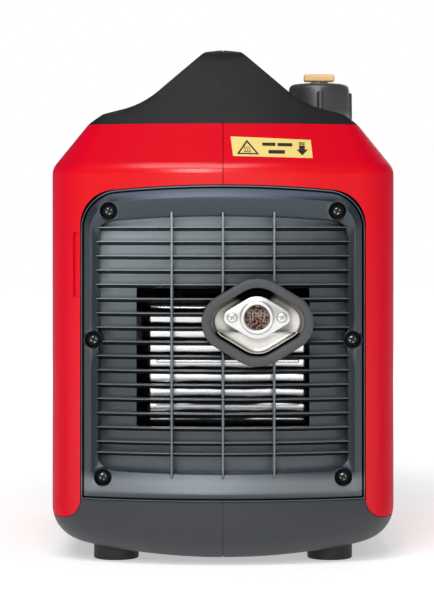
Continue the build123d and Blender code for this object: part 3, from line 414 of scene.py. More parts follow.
# near-black plastic for the screw cups and recess floors: painted shadow in the screw seats
seatBlack = mouldedPlastic("seatBlack", (0.003, 0.003, 0.004), (0.02, 0.02, 0.02), 0.35, grain=0.1, dust=0.0,
                           specular=0.3, gaps=1.0)
# duct plate: its light colour and its upper-left fade are a painted sheen
ductSlate = mouldedPlastic("ductSlate", (0.13, 0.155, 0.175), (0.24, 0.26, 0.28), 0.3, grain=0.12, dust=0.05,
                           fades=((*bleached, (0.62, 0.72, 0.75)),))
# the rubber ring has painted shade in its narrow gaps
ringRubber = mouldedPlastic("ringRubber", (0.058, 0.060, 0.066), (0.3, 0.3, 0.31), 0.5, grain=0.7, dust=0.06,
                            grainScale=1100, wear=0.8, gaps=0.9)
footRubber = mouldedPlastic("footRubber", (0.012, 0.012, 0.013), (0.04, 0.04, 0.04), 0.55, grain=0.3, dust=0.1)
capBlack = mouldedPlastic("capBlack", (0.045, 0.047, 0.051), (0.14, 0.14, 0.145), 0.33, grain=0.3, dust=0.05,
                          specular=0.8)
tanLever = mouldedPlastic("tanLever", (1.0, 0.62, 0.29), (1.0, 0.75, 0.45), 0.42, grain=0.2, dust=0.03)
partBlack = mouldedPlastic("partBlack", (0.016, 0.016, 0.018), (0.05, 0.05, 0.05), 0.45, grain=0.3, dust=0.12)
panelCharcoal = mouldedPlastic("panelCharcoal", (0.028, 0.030, 0.033), (0.08, 0.08, 0.085), 0.48, grain=0.4,
                               dust=0.05)
socketBlack = mouldedPlastic("socketBlack", (0.012, 0.012, 0.013), (0.05, 0.05, 0.05), 0.3, grain=0.08, dust=0.03)
screwBlack = metal("screwBlack", (0.36, 0.36, 0.37), 0.42, stainAmount=0.05)
# heat shield: painted reflection strips of the slats
mirrorSteel = metal("mirrorSteel", (0.95, 0.95, 0.96), 0.16, depth=0.02, stainAmount=0.06, spread=0.03,
                    bands=bandValues)
# dish: painted shade in its gaps and a painted shadow patch above the outlet
dishSteel = metal("dishSteel", (0.84, 0.83, 0.78), 0.34, depth=0.03, stain=(0.6, 0.52, 0.4), stainAmount=0.2,
                  metallic=0.85, gaps=0.95, gapReach=0.006, plume=plumeValues)
# flange: painted shade outlines in narrow gaps
flangeSteel = metal("flangeSteel", (0.80, 0.80, 0.79), 0.4, depth=0.05, stainAmount=0.05, metallic=0.85, gaps=0.9,
                    gapReach=0.0015)
plainSteel = metal("plainSteel", (0.62, 0.61, 0.60), 0.32)
exhaustSteel = metal("exhaustSteel", (0.36, 0.34, 0.32), 0.42, stain=(0.3, 0.2, 0.12), stainAmount=0.5)
castAlloy = metal("castAlloy", (0.58, 0.59, 0.60), 0.5, depth=0.4, scale=900)
paintedSteel = mouldedPlastic("paintedSteel", (0.012, 0.012, 0.013), (0.2, 0.2, 0.2), 0.3, grain=0.05, wear=0.3)
copperWire = metal("copperWire", (0.72, 0.34, 0.16), 0.3, stretch=(8, 1, 1), scale=500, depth=0.5)
whiteCeramic = mouldedPlastic("whiteCeramic", (0.8, 0.79, 0.76), (0.85, 0.85, 0.82), 0.18, grain=0.02)
yellowFilm = mouldedPlastic("yellowFilm", (0.90, 0.70, 0.22), (0.95, 0.8, 0.35), 0.38, grain=0.05, wave=0.02,
                            wear=0.1, dust=0.02)
blackInk = mouldedPlastic("blackInk", (0.035, 0.012, 0.010), (0.06, 0.03, 0.03), 0.45, grain=0.03, wear=0.0,
                          dust=0.0)
whiteMark = mouldedPlastic("whiteMark", (0.75, 0.75, 0.73), (0.8, 0.8, 0.8), 0.45, grain=0.03, wear=0.0, dust=0.0)


wireValues = {"dark": (0.03, 0.012, 0.009), "light": (0.62, 0.36, 0.28), "scale": 560}


def rustedWire(name, values):
    # scorched wire: patches from near black to a pale pinkish scale
    material, tree, shader = newMaterial(name, {"Metallic": 0.2, "Roughness": 0.6, "Specular IOR Level": 0.2})
    patches = noise(tree, objectPlace(tree), values["scale"], 1.0)
    sharp = mapped(tree, patches, 0.0, 1.0, 0.5, 0.58)
    fillInputs(tree, shader, {"Base Color": mixColour(tree, sharp, values["dark"], values["light"])})
    return material


screenWire = rustedWire("screenWire", wireValues)
print("materials made")


# mesh helpers

meshValues = {"mergeLoops": 0.002, "mergeNode": 0.005, "sharpAngle": 34, "axisGap": 0.01}


def looseObject(name, mesh):
    made = bpy.data.objects.new(name, mesh)
    bpy.context.scene.collection.objects.link(made)
    return made


def discard(helper):
    mesh = helper.data
    bpy.data.objects.remove(helper)
    bpy.data.meshes.remove(mesh)


def newPiece(name, mesh, body, material):
    piece = looseObject(name, mesh)
    mesh.materials.clear()
    mesh.materials.append(material)
    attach(piece, body)
    return piece


def meshFrom(bm, name):
    mesh = bpy.data.meshes.new(name)
    bm.to_mesh(mesh)
    bm.free()
    return mesh


def combined(name, meshes):
    bm = bmesh.new()
    for mesh in meshes:
        bm.from_mesh(mesh)
    return meshFrom(bm, name)


def nodeCopy(node):
    # a CAD node's mesh with its doubled corners merged
    bm = bmesh.new()
    bm.from_mesh(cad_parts[node].data)
    bmesh.ops.remove_doubles(bm, verts=bm.verts, dist=meshValues["mergeNode"] * mm)
    return bm


def smoothByAngle(mesh, sharpAngle=meshValues["sharpAngle"]):
    mesh.polygons.foreach_set("use_smooth", [True] * len(mesh.polygons))
    mesh.set_sharp_from_angle(angle=math.radians(sharpAngle))
    mesh.update()


def meshFromLoops(name, loops, capped=False):
    # joins equal loops of points, in millimetres, into a skin that closes on itself or ends in two caps
    count, rows = len(loops[0]), len(loops)
    points = [tuple(c * mm for c in p) for loop in loops for p in loop]
    faces = []
    for i in range(rows - 1 if capped else rows):
        here, there = i * count, ((i + 1) % rows) * count
        for k in range(count):
            nextK = (k + 1) % count
            faces.append((here + k, here + nextK, there + nextK, there + k))
    if capped:
        faces.append(tuple(range(count - 1, -1, -1)))
        faces.append(tuple((rows - 1) * count + k for k in range(count)))
    mesh = bpy.data.meshes.new(name)
    mesh.from_pydata(points, [], faces)
    bm = bmesh.new()
    bm.from_mesh(mesh)
    bmesh.ops.remove_doubles(bm, verts=bm.verts, dist=meshValues["mergeLoops"] * mm)
    bmesh.ops.recalc_face_normals(bm, faces=bm.faces)
    bm.to_mesh(mesh)
    bm.free()
    smoothByAngle(mesh)
    return mesh


def modified(piece, kind, **settings):
    modifier = piece.modifiers.new(kind.lower(), kind)
    for name, value in settings.items():
        setattr(modifier, name, value)


def applied(piece):
    # turns a piece's modifiers into its own plain mesh
    graph = bpy.context.evaluated_depsgraph_get()
    mesh = bpy.data.meshes.new_from_object(piece.evaluated_get(graph))
    old = piece.data
    piece.modifiers.clear()
    piece.data = mesh
    bpy.data.meshes.remove(old)
    return piece


def carve(piece, cutterMesh):
    cutter = looseObject(piece.name + "Cutter", cutterMesh)
    modified(piece, "BOOLEAN", object=cutter, operation="DIFFERENCE", solver="EXACT")
    applied(piece)
    discard(cutter)


softValues = {"flatAngle": 0.25, "segments": 2}


def softened(node, body, material, bevel, values=softValues):
    # a copy of a CAD node whose hard edges are slightly rounded, as a moulding's are
    bm = nodeCopy(node)
    bmesh.ops.dissolve_limit(bm, angle_limit=math.radians(values["flatAngle"]), verts=bm.verts, edges=bm.edges)
    first, *others = node.split("_")
    name = first + "".join(word.capitalize() for word in others) + "Soft"
    mesh = meshFrom(bm, name)
    smoothByAngle(mesh)
    piece = newPiece(name, mesh, body, material)
    modified(piece, "BEVEL", width=bevel * mm, segments=values["segments"], limit_method="ANGLE",
             angle_limit=math.radians(meshValues["sharpAngle"]), harden_normals=True, miter_outer="MITER_ARC")
    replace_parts(piece, node)


# curves of the case, as in the CAD model

caseValues = {"endCentreY": -54.0, "endRadius": 300.0, "cornerX": 95.0, "cornerY": -177.2, "cornerRadius": 50.0,
              "arcHalfWidth": 114.0}


def endWallY(x, inset=0.0, values=caseValues):
    # y of the bulged exhaust end at x, moved inwards by inset
    reach = abs(x)
    radius = values["endRadius"] - inset
    if reach <= values["arcHalfWidth"] * radius / values["endRadius"]:
        return -values["endCentreY"] - math.sqrt(radius**2 - reach**2)
    corner = values["cornerRadius"] - inset
    return values["cornerY"] - math.sqrt(max(corner**2 - (reach - values["cornerX"]) ** 2, 0.0))


# pieces that keep the CAD model's shape: softenedPieces get rounded edges, plainPieces only their finish

softenedPieces = {
    "cover_latch": ("cover_latch", partBlack, "black_plastic", 0.3),
    "top_cover_left": ("case", coverCharcoal, "cover_plastic", 0.7),
    "top_cover_right": ("case", coverCharcoal, "cover_plastic", 0.7),
    "base_left": ("case", baseGrey, "base_plastic", 0.5),
    "base_right": ("case", baseGrey, "base_plastic", 0.5),
}
for node, (body, material, slot, bevel) in softenedPieces.items():
    softened(node, body, material, bevel)

plainPieces = {
    redCase: ("left_shell", "right_shell", "service_cover"),
    ductSlate: ("rear_duct",),
    footRubber: ("feet", "plug_cap", "fuel_hose"),
    mirrorSteel: ("heat_shield",),
    exhaustSteel: ("muffler", "exhaust_pipe"),
    capBlack: ("cap_insert",),
    tanLever: ("vent_lever",),
    partBlack: ("fuel_tank", "fan_shroud", "cooling_fan", "air_box", "recoil_bezel", "recoil_grip",
                "recoil_pulley", "oil_dipstick", "engine_dial", "eco_switch", "breaker_button", "dc_socket",
                "parallel_jacks"),
    panelCharcoal: ("control_panel",),
    socketBlack: ("ac_outlets",),
    whiteMark: ("status_lamps",),
    plainSteel: ("foot_bolts", "crankshaft", "main_bearings", "rod_pins", "connecting_rod", "ground_terminal"),
    castAlloy: ("crankcase", "cylinder", "cylinder_head", "piston", "carburettor", "inverter_module"),
    paintedSteel: ("valve_cover", "flywheel"),
    whiteCeramic: ("spark_plug",),
    copperWire: ("stator",),
}
for material, nodes in plainPieces.items():
    for node in nodes:
        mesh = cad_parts[node].data
        mesh.materials.clear()
        mesh.materials.append(material)
print("case pieces finished")


# repeated things, made with Geometry Nodes


def newNodeTree(name, sockets):
    tree = bpy.data.node_groups.new(name, "GeometryNodeTree")
    for socketName, kind in (("Geometry", "Geometry"), *sockets, ("Material", "Material")):
        tree.interface.new_socket(socketName, in_out="INPUT", socket_type="NodeSocket" + kind)
    tree.interface.new_socket("Geometry", in_out="OUTPUT", socket_type="NodeSocketGeometry")
    return tree, tree.nodes.new("NodeGroupInput").outputs


def endTree(tree, given, copies):
    # copies become real geometry with one material
    real = addNode(tree, "GeometryNodeRealizeInstances", {0: copies.outputs[0]})
    painted = addNode(tree, "GeometryNodeSetMaterial", {"Geometry": real.outputs[0],
                                                        "Material": given["Material"]})
    addNode(tree, "NodeGroupOutput", {0: painted.outputs[0]})
    return tree


def makeCopiesTree():
    # one copy of Source at each point of the mesh, all turned by Turn
    tree, given = newNodeTree("copiesAtPoints", (("Source", "Object"), ("Turn", "Rotation")))
    points = addNode(tree, "GeometryNodeMeshToPoints", {"Mesh": given["Geometry"]})
    source = addNode(tree, "GeometryNodeObjectInfo", {"Object": given["Source"]})
    copies = addNode(tree, "GeometryNodeInstanceOnPoints", {"Points": points.outputs[0], "Rotation": given["Turn"],
                                                            "Instance": source.outputs["Geometry"]})
    return endTree(tree, given, copies)


def makeRowTree():
    # Count copies of the mesh, each Step further on
    tree, given = newNodeTree("rowOfCopies", (("Count", "Int"), ("Step", "Vector")))
    line = addNode(tree, "GeometryNodeMeshLine", {"Count": given["Count"], "Offset": given["Step"]})
    copies = addNode(tree, "GeometryNodeInstanceOnPoints", {"Points": line.outputs[0],
                                                            "Instance": given["Geometry"]})
    return endTree(tree, given, copies)


copiesTree = makeCopiesTree()
rowTree = makeRowTree()


def treeMesh(name, mesh, tree, values):
    # what the tree makes of a mesh, as a plain mesh
    holder = looseObject(name + "Holder", mesh)
    modifier = holder.modifiers.new(tree.name, "NODES")
    modifier.node_group = tree
    for item in tree.interface.items_tree:
        if item.in_out == "INPUT" and item.name in values:
            modifier[item.identifier] = values[item.name]
    made = applied(holder).data.copy()
    discard(holder)
    return made


def copiesAt(name, sourceMesh, places, material, turn=(0, 0, 0)):
    # one copy of sourceMesh at each place, in millimetres
    dots = bpy.data.meshes.new(name + "Places")
    dots.from_pydata([tuple(c * mm for c in place) for place in places], [], [])
    source = looseObject(name + "Source", sourceMesh)
    mesh = treeMesh(name, dots, copiesTree, {"Source": source, "Turn": turn, "Material": material})
    discard(source)
    return mesh


def rowOf(name, sourceMesh, count, step, material):
    values = {"Count": count, "Step": tuple(c * mm for c in step), "Material": material}
    return treeMesh(name, sourceMesh, rowTree, values)


# profiles


def lathe(name, profile, steps=40):
    # turns a closed profile of (radius, distance along y) into a ring around the y axis
    turns = [2 * math.pi * k / steps for k in range(steps)]
    return meshFromLoops(name, [[(r * math.cos(t), d, r * math.sin(t)) for r, d in profile] for t in turns])


def between(first, last, steps):
    # the points that split a straight edge into equal steps, without its ends
    return [tuple(a + (b - a) * i / steps for a, b in zip(first, last)) for i in range(1, steps)]


def lozengeLoop(reach, y, values):
    # rounded rhombus around the outlet; reach is the distance from its centre to the straight edges
    slope = math.radians(values["slope"])
    grow = reach - values["baseReach"]
    sideRadius, topRadius = values["sideRadius"] + grow, values["topRadius"] + grow
    sideCentre = (values["baseReach"] - values["sideRadius"]) / math.sin(slope)
    topCentre = (values["baseReach"] - values["topRadius"]) / math.cos(slope)
    cx, cz = values["centre"]
    arcs = [(sideCentre, 0, sideRadius, 0), (0, topCentre, topRadius, 90),
            (-sideCentre, 0, sideRadius, 180), (0, -topCentre, topRadius, 270)]
    rounded = []
    for ax, az, radius, middle in arcs:
        half = (90 - values["slope"]) if middle in (0, 180) else values["slope"]
        turns = [math.radians(middle - half + 2 * half * i / values["arcSteps"])
                 for i in range(values["arcSteps"] + 1)]
        rounded.append([(cx + ax + radius * math.cos(t), y, cz + az + radius * math.sin(t)) for t in turns])
    points = []
    for i, arc in enumerate(rounded):
        points += arc + between(arc[-1], rounded[(i + 1) % 4][0], values["edgeSteps"])
    return points


# exhaust grille: one frame, seventeen slats and three uprights that follow the bulged end

grilleValues = {
    "bulgeSteps": 44, "sideSteps": 26, "cornerSteps": 12, "sharpAngle": 30,
    "screws": ((94.7, 293.8), (107.6, 187.0), (99.7, 73.0)), "recessRadius": 6.6, "seatDepth": 4.0,
    "frameGap": 0.9, "slatGap": 1.2,
    "slatTop": 280.0, "slatPitch": 11.83, "slatCount": 16, "lastSlat": 93.5, "slatReach": 107.0, "slatSteps": 64,
    "bars": (-42.3, 0.0, 42.3), "barLow": 74.0, "barHigh": 293.0,
}
outletValues = {"centre": (28.5, 202.0), "slope": 31.0, "baseReach": 35.5, "sideRadius": 24.2, "topRadius": 30.7,
                "arcSteps": 18, "edgeSteps": 10, "pipe": (28.0, 206.0), "boltSpacing": 41.0, "flangeY": -246.0,
                "ringFaceY": -254.0, "gap": (34.6, -280.0, -200.0), "plateReach": 17.4}


def frameLoop(halfWidth, low, high, inset, topRadius, lowRadius, arch, sag, values=grilleValues):
    # one ring around the opening, on the bulged wall; its top is arched and its bottom sags
    def corner(cx, cz, radius, start):
        steps = values["cornerSteps"]
        return [(cx + radius * math.cos(math.radians(start + 90 * i / steps)),
                 cz + radius * math.sin(math.radians(start + 90 * i / steps))) for i in range(steps + 1)]

    corners = [corner(halfWidth - lowRadius, low + lowRadius, lowRadius, 270),
               corner(halfWidth - topRadius, high - topRadius, topRadius, 0),
               corner(-halfWidth + topRadius, high - topRadius, topRadius, 90),
               corner(-halfWidth + lowRadius, low + lowRadius, lowRadius, 180)]
    flat = []
    for i, here in enumerate(corners):
        steps = values["sideSteps"] if i in (0, 2) else values["bulgeSteps"]
        flat += here + between(here[-1], corners[(i + 1) % 4][0], steps)
    loop = []
    for x, z in flat:
        up = (z - low) / (high - low)
        away = (x / halfWidth) ** 2
        shifted = z - arch * away * up + sag * away * (1 - up)
        loop.append((x, endWallY(x, inset), shifted))
    return loop


def screwPlaces(depth, values=grilleValues):
    return [(side * x, endWallY(x) + depth, z) for x, z in values["screws"] for side in (-1, 1)]


def grillePiece(name, mesh, material, cutters=(), values=grilleValues):
    piece = newPiece(name, mesh, "case", material)
    for cutter in cutters:
        carve(piece, cutter)
    if cutters:
        smoothByAngle(piece.data, values["sharpAngle"])
    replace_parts(piece, "rear_grille")


def discCutter(name, places, radius, reach=30.0):
    gap = meshValues["axisGap"]
    profile = [(gap, -reach), (radius, -reach), (radius, reach), (gap, reach)]
    return copiesAt(name, lathe(name + "Disc", profile), places, None)


def outletCutter(name, values=outletValues):
    # clears the slats and bars from the opening behind the rubber ring
    reach, front, back = values["gap"]
    return meshFromLoops(name, [lozengeLoop(reach, y, values) for y in (front, back)], capped=True)


def grilleFrame(values=grilleValues):
    sections = [  # half width, low, high, inset, top radius, low radius, arch, sag
        (118.2, 54.3, 314.8, 3.0, 29, 1.0, 7.0, 0.0),
        (118.2, 54.3, 314.8, -0.3, 29, 1.0, 7.0, 0.0),
        (118.0, 54.5, 314.6, -1.0, 28.8, 1.0, 7.0, 0.0),
        (117.3, 55.2, 313.9, -1.1, 28.1, 1.0, 7.0, 0.0),
        (117.1, 55.4, 313.7, 1.9, 27.9, 1.0, 7.0, 0.0),
        (115.9, 56.6, 312.5, 1.9, 26.7, 1.0, 7.0, 0.0),
        (115.7, 56.8, 312.3, -1.0, 26.5, 1.2, 7.0, 0.0),
        (115.2, 57.3, 311.8, -1.5, 26.1, 1.5, 7.0, 0.0),
        (110.4, 60.4, 306.2, -5.5, 22, 4.0, 6.7, 0.5),
        (109.9, 60.9, 305.6, -5.8, 21.5, 4.3, 6.6, 0.6),
        (109.1, 61.8, 304.7, -5.6, 20.8, 5.0, 6.4, 0.8),
        (104.9, 76.0, 290.8, -0.4, 13.5, 11.5, 5.0, 2.4),
        (104.0, 76.9, 289.9, 0.4, 12.8, 12.2, 4.9, 2.5),
        (103.6, 77.4, 289.4, 1.6, 12.5, 12.5, 4.9, 2.6),
        (103.2, 77.8, 289.0, 11.0, 12.5, 12.5, 4.9, 2.6),
        (106.0, 75.0, 291.8, 11.0, 14.0, 12.0, 5.0, 2.4),
        (107.0, 74.0, 292.8, 4.4, 15.0, 11.0, 5.0, 2.0),
    ]
    mesh = meshFromLoops("grilleFrame", [frameLoop(*section) for section in sections])
    recess = discCutter("frameRecess", screwPlaces(0.0), values["recessRadius"] + values["frameGap"])
    grillePiece("grilleFrame", mesh, grilleSlate, (recess,))


def slatMesh(name, values=grilleValues):
    # drafted blade: a thin front edge, its underside sloping further than its top
    section = [(-1.1, 0.35), (-1.3, 0.0), (-1.1, -0.35), (-0.6, -0.65), (8.0, -3.0), (8.0, 1.0), (-0.6, 0.6)]
    loops = []
    for i in range(values["slatSteps"] + 1):
        x = values["slatReach"] * (2 * i / values["slatSteps"] - 1)
        loops.append([(x, endWallY(x, inset), values["slatTop"] + rise) for inset, rise in section])
    return meshFromLoops(name, loops, capped=True)


def grilleSlats(values=grilleValues):
    row = rowOf("slatRow", slatMesh("slat"), values["slatCount"], (0, 0, -values["slatPitch"]), slatSlate)
    lowest = slatMesh("lowestSlat")
    lowest.transform(Matrix.Translation((0, 0, (values["lastSlat"] - values["slatTop"]) * mm)))
    recess = discCutter("slatRecess", screwPlaces(0.0), values["recessRadius"] + values["slatGap"])
    mesh = combined("grilleSlats", (row, lowest))
    grillePiece("grilleSlats", mesh, slatSlate, (outletCutter("slatGap"), recess))


def grilleBars(values=grilleValues):
    section = [(-0.5, -2.2), (0.0, -2.4), (0.5, -2.2), (0.8, -1.6), (1.4, 7.6), (-1.4, 7.6), (-0.8, -1.6)]
    bars = []
    for x in values["bars"]:
        loops = [[(x + dx, endWallY(x + dx, inset), z) for dx, inset in section]
                 for z in (values["barLow"], values["barHigh"])]
        bars.append(meshFromLoops("bar", loops, capped=True))
    grillePiece("grilleBars", combined("grilleBars", bars), slatSlate, (outletCutter("barGap"),))


def grilleSeats(values=grilleValues):
    # round cups that the screws stand in; their near-black colour is painted shadow
    r, deep = values["recessRadius"], values["seatDepth"]
    profile = [(r + 2.1, deep + 1.5), (r + 1.9, -0.2), (r + 1.4, -0.9), (r + 0.6, -1.1), (r + 0.1, -0.7), (r, 0.0),
               (r - 0.1, deep - 0.5), (r - 0.6, deep), (1.5, deep), (1.5, deep + 1.5)]
    cups = copiesAt("grilleSeats", lathe("seat", profile, 48), screwPlaces(0.0), seatBlack)
    grillePiece("grilleSeats", cups, seatBlack)


def grilleCollar():
    # the short duct behind the rubber ring
    sections = [(33.4, -248.6), (33.4, -229.0), (31.4, -229.0), (31.4, -248.6)]
    loops = [lozengeLoop(reach, y, outletValues) for reach, y in sections]
    grillePiece("grilleCollar", meshFromLoops("grilleCollar", loops), grilleSlate)


grilleFrame()
grilleSlats()
grilleBars()
grilleSeats()
grilleCollar()
print("grille done")


# cross-recess screws

screwValues = {"headRadius": 3.8, "headHeight": 2.6, "crossWidth": 1.9, "crossReach": 2.8, "crossDepth": 2.1,
               "shankRadius": 2.1, "shankLength": 12.0}


def crossPrism(name, front, back, values):
    loops = []
    for y, scale in ((front, 1.12), (back, 0.66)):
        w, reach = values["crossWidth"] / 2 * scale, values["crossReach"] * scale
        outline = [(w, reach), (-w, reach), (-w, w), (-reach, w), (-reach, -w), (-w, -w),
                   (-w, -reach), (w, -reach), (w, -w), (reach, -w), (reach, w), (w, w)]
        loops.append([(x, y, z) for x, z in outline])
    return meshFromLoops(name, loops, capped=True)


def crossHead(name, values=screwValues):
    r, h = values["headRadius"], values["headHeight"]
    gap, shank, end = meshValues["axisGap"], values["shankRadius"], values["shankLength"]
    profile = [(gap, -h), (r * 0.45, -h * 0.99), (r * 0.75, -h * 0.9), (r * 0.93, -h * 0.68), (r, -h * 0.36),
               (r, 0), (shank, 0), (shank, end), (gap, end)]
    head = looseObject(name, lathe(name, profile, 36))
    carve(head, crossPrism(name + "Cross", -h - 0.5, -h + values["crossDepth"], values))
    mesh = head.data.copy()
    discard(head)
    smoothByAngle(mesh, 38)
    return mesh


def recessFloors(name, places, turn, node, values=screwValues):
    # black floors of the cross recesses: painted shadow in the recesses
    h = values["headHeight"]
    floor = crossPrism(name + "Prism", -h + 0.9, -h + values["crossDepth"] + 0.2, values)
    mesh = copiesAt(name, floor, places, seatBlack, turn)
    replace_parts(newPiece(name, mesh, "case", seatBlack), node)


def panelScrews():
    # the same screws hold the grille and, at the other end, the control panel
    seats = screwPlaces(grilleValues["seatDepth"])
    turn = (0, math.radians(25), 0)
    grille = copiesAt("grilleScrewHeads", crossHead("crossHead"), seats, screwBlack, turn)
    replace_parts(newPiece("grilleScrewHeads", grille, "case", screwBlack), "grille_screws")
    recessFloors("grilleScrewFloors", seats, turn, "grille_screws")
    far = [(x, y - 1.0, z) for x, y, z in seats]
    control = copiesAt("panelScrewHeads", crossHead("crossHead"), far, screwBlack)
    control.transform(Matrix.Rotation(math.pi, 4, "Z"))
    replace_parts(newPiece("panelScrewHeads", control, "case", screwBlack), "panel_screws")


def flangeScrews(values=outletValues):
    x, z = values["pipe"]
    reach = values["boltSpacing"] / 2
    head = crossHead("flangeHead", {**screwValues, "headRadius": 4.1, "headHeight": 2.2, "shankLength": 11.0,
                                    "crossWidth": 1.0, "crossReach": 2.4, "crossDepth": 0.7})
    places = [(x + side * reach, values["flangeY"] - 2.5, z) for side in (-1, 1)]
    made = copiesAt("flangeScrewHeads", head, places, flangeSteel, (0, math.radians(32), 0))
    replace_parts(newPiece("flangeScrewHeads", made, "case", flangeSteel), "outlet_screws")


markValues = {"faceY": 226.0, "dial": (-58.0, 250.0), "dialReach": 26.5, "ticks": 7, "sweep": 120.0, "thick": 0.25,
              "underlines": ((-50.0, 131.0, 24.0), (4.0, 131.0, 24.0), (62.0, 148.0, 16.0), (48.0, 108.5, 9.0),
                             (76.0, 108.5, 9.0), (62.0, 79.5, 10.0), (58.0, 233.0, 10.0), (12.0, 236.0, 9.0),
                             (-6.0, 261.0, 30.0))}


def markStrip(name, x, z, width, height, turn, values=markValues):
    # a printed bar with cut corners, lying on the control panel
    cut = min(width, height) * 0.3
    a, b = width / 2, height / 2
    outline = [(a - cut, -b), (a, -b + cut), (a, b - cut), (a - cut, b),
               (-a + cut, b), (-a, b - cut), (-a, -b + cut), (-a + cut, -b)]
    cosine, sine = math.cos(turn), math.sin(turn)
    loops = [[(x + u * cosine - v * sine, y, z + u * sine + v * cosine) for u, v in outline]
             for y in (values["faceY"] - 0.3, values["faceY"] + values["thick"])]
    return meshFromLoops(name, loops, capped=True)


def panelMarks(values=markValues):
    # ticks around the dial and a bar under each control instead of words
    x, z = values["dial"]
    meshes = []
    for k in range(values["ticks"]):
        turn = math.radians(90 + values["sweep"] * (k / (values["ticks"] - 1) - 0.5))
        reach = values["dialReach"]
        meshes.append(markStrip("tick", x + reach * math.cos(turn), z + reach * math.sin(turn), 5.0, 1.1, turn))
    for cx, cz, width in values["underlines"]:
        meshes.append(markStrip("underline", cx, cz, width, 1.5, 0.0))
    newPiece("panelMarks", combined("panelMarks", meshes), "case", whiteMark)


panelScrews()
flangeScrews()
panelMarks()


# exhaust outlet


def ringFromSections(name, sections, body, material, node, values=outletValues):
    loops = [lozengeLoop(reach, y, values) for reach, y in sections]
    piece = newPiece(name, meshFromLoops(name, loops), body, material)
    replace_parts(piece, node)


def rubberRing(values=outletValues):
    face = values["ringFaceY"]
    sections = [(35.5, face + 9), (35.5, face + 2.6), (35.3, face + 1.5), (34.7, face + 0.6), (33.6, face + 0.1),
                (32.0, face), (29.6, face + 0.2), (28.4, face + 0.7), (27.8, face + 1.7), (27.6, face + 3.0),
                (27.6, face + 5.2), (33.7, face + 5.2), (33.7, face + 9)]
    ringFromSections("outletRing", sections, "case", ringRubber, "exhaust_grommet", values)


def dishPan(values=outletValues):
    # a pressed pan; its lower half holds a second, shallower tray with a folded lip
    sections = [(28.9, -247.0), (28.0, -247.0), (27.6, -240.0), (26.8, -234.0), (24.5, -231.2), (20.0, -230.2),
                (3.0, -230.0), (3.0, -229.0), (20.5, -229.2), (25.3, -230.3), (27.8, -233.6), (28.7, -239.6)]
    ringFromSections("dishPan", sections, "case", dishSteel, "outlet_dish", values)


trayValues = {**outletValues, "arcSteps": 40, "points": 90}


def lowerLoop(reach, y, cutZ, values=trayValues):
    # the part of a lozenge below cutZ, closed by a straight line, as evenly spaced points
    full = lozengeLoop(reach, y, values)
    start = next(i for i in range(len(full)) if full[i][2] > cutZ and full[(i + 1) % len(full)][2] <= cutZ)
    turned = full[start + 1:] + full[:start + 1]
    low = [p for p in turned if p[2] <= cutZ]
    lengths = [0.0]
    for a, b in zip(low, low[1:]):
        lengths.append(lengths[-1] + math.dist(a, b))
    even, k = [], 0
    for i in range(values["points"]):
        goal = lengths[-1] * i / (values["points"] - 1)
        while k < len(low) - 2 and lengths[k + 1] < goal:
            k += 1
        part = (goal - lengths[k]) / (lengths[k + 1] - lengths[k])
        even.append(tuple(a + (b - a) * part for a, b in zip(low[k], low[k + 1])))
    return even


def dishTray():
    sections = [(25.6, -230.5, 194.3), (25.6, -240.9, 194.3), (25.3, -241.5, 194.2), (24.7, -241.5, 194.1),
                (24.3, -241.0, 194.0), (24.2, -240.0, 193.9), (23.3, -238.9, 193.2), (22.0, -238.5, 192.4),
                (21.0, -238.4, 191.6)]
    loops = [lowerLoop(*section) for section in sections]
    mesh = meshFromLoops("dishTray", loops, capped=True)
    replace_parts(newPiece("dishTray", mesh, "case", dishSteel), "outlet_dish")


def outletFlange(values=outletValues):
    # an oval plate whose middle rises to a round lip
    x, z = values["pipe"]
    back, reach = values["flangeY"], values["plateReach"]
    plate = {**values, "centre": values["pipe"], "baseReach": reach, "sideRadius": 6.5, "topRadius": 17.3}

    def circle(radius, y):
        loop = []
        for px, _, pz in lozengeLoop(reach, y, plate):
            angle = math.atan2(pz - z, px - x)
            loop.append((x + radius * math.cos(angle), y, z + radius * math.sin(angle)))
        return loop

    rim = [(17.3, 0.0), (17.5, 0.4), (17.5, 1.7), (17.2, 2.3), (16.6, 2.6)]
    lip = [(14.6, 2.6), (14.1, 2.9), (13.7, 4.6), (13.2, 5.8), (12.5, 6.2), (11.7, 6.2), (10.8, 5.8), (10.4, 5.0),
           (10.3, 0.0)]
    loops = [lozengeLoop(r, back - rise, plate) for r, rise in rim] + [circle(r, back - rise) for r, rise in lip]
    mesh = meshFromLoops("outletLip", loops)
    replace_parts(newPiece("outletLip", mesh, "case", flangeSteel), "outlet_flange")


screenValues = {"radius": 11.5, "wire": 0.95, "pitch": 2.3, "wave": 0.5, "steps": 60, "sides": 5, "shortest": 1.0}


def sparkScreen(values=screenValues):
    # woven wires, over and under in turn
    x0, z0 = outletValues["pipe"]
    y0 = outletValues["flangeY"] + 0.2
    count = int(values["radius"] / values["pitch"])
    meshes = []
    for along in (0, 1):
        for k in range(-count, count + 1):
            offset = k * values["pitch"]
            half = math.sqrt(values["radius"] ** 2 - offset**2)
            if half < values["shortest"]:
                continue
            loops = []
            for i in range(values["steps"] + 1):
                t = half * (2 * i / values["steps"] - 1)
                sign = 1 if (k + along) % 2 else -1
                lift = sign * values["wave"] * math.cos(math.pi * t / values["pitch"])
                u, v = (t, offset) if along else (offset, t)
                ring = []
                for j in range(values["sides"]):
                    turn = 2 * math.pi * j / values["sides"]
                    side, out = values["wire"] / 2 * math.cos(turn), values["wire"] / 2 * math.sin(turn)
                    across, up = (0, side) if along else (side, 0)
                    ring.append((x0 + u + across, y0 + lift + out, z0 + v + up))
                loops.append(ring)
            meshes.append(meshFromLoops("wire", loops, capped=True))
    mesh = combined("screenWeave", meshes)
    smoothByAngle(mesh, 60)
    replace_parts(newPiece("screenWeave", mesh, "case", screenWire), "spark_screen")


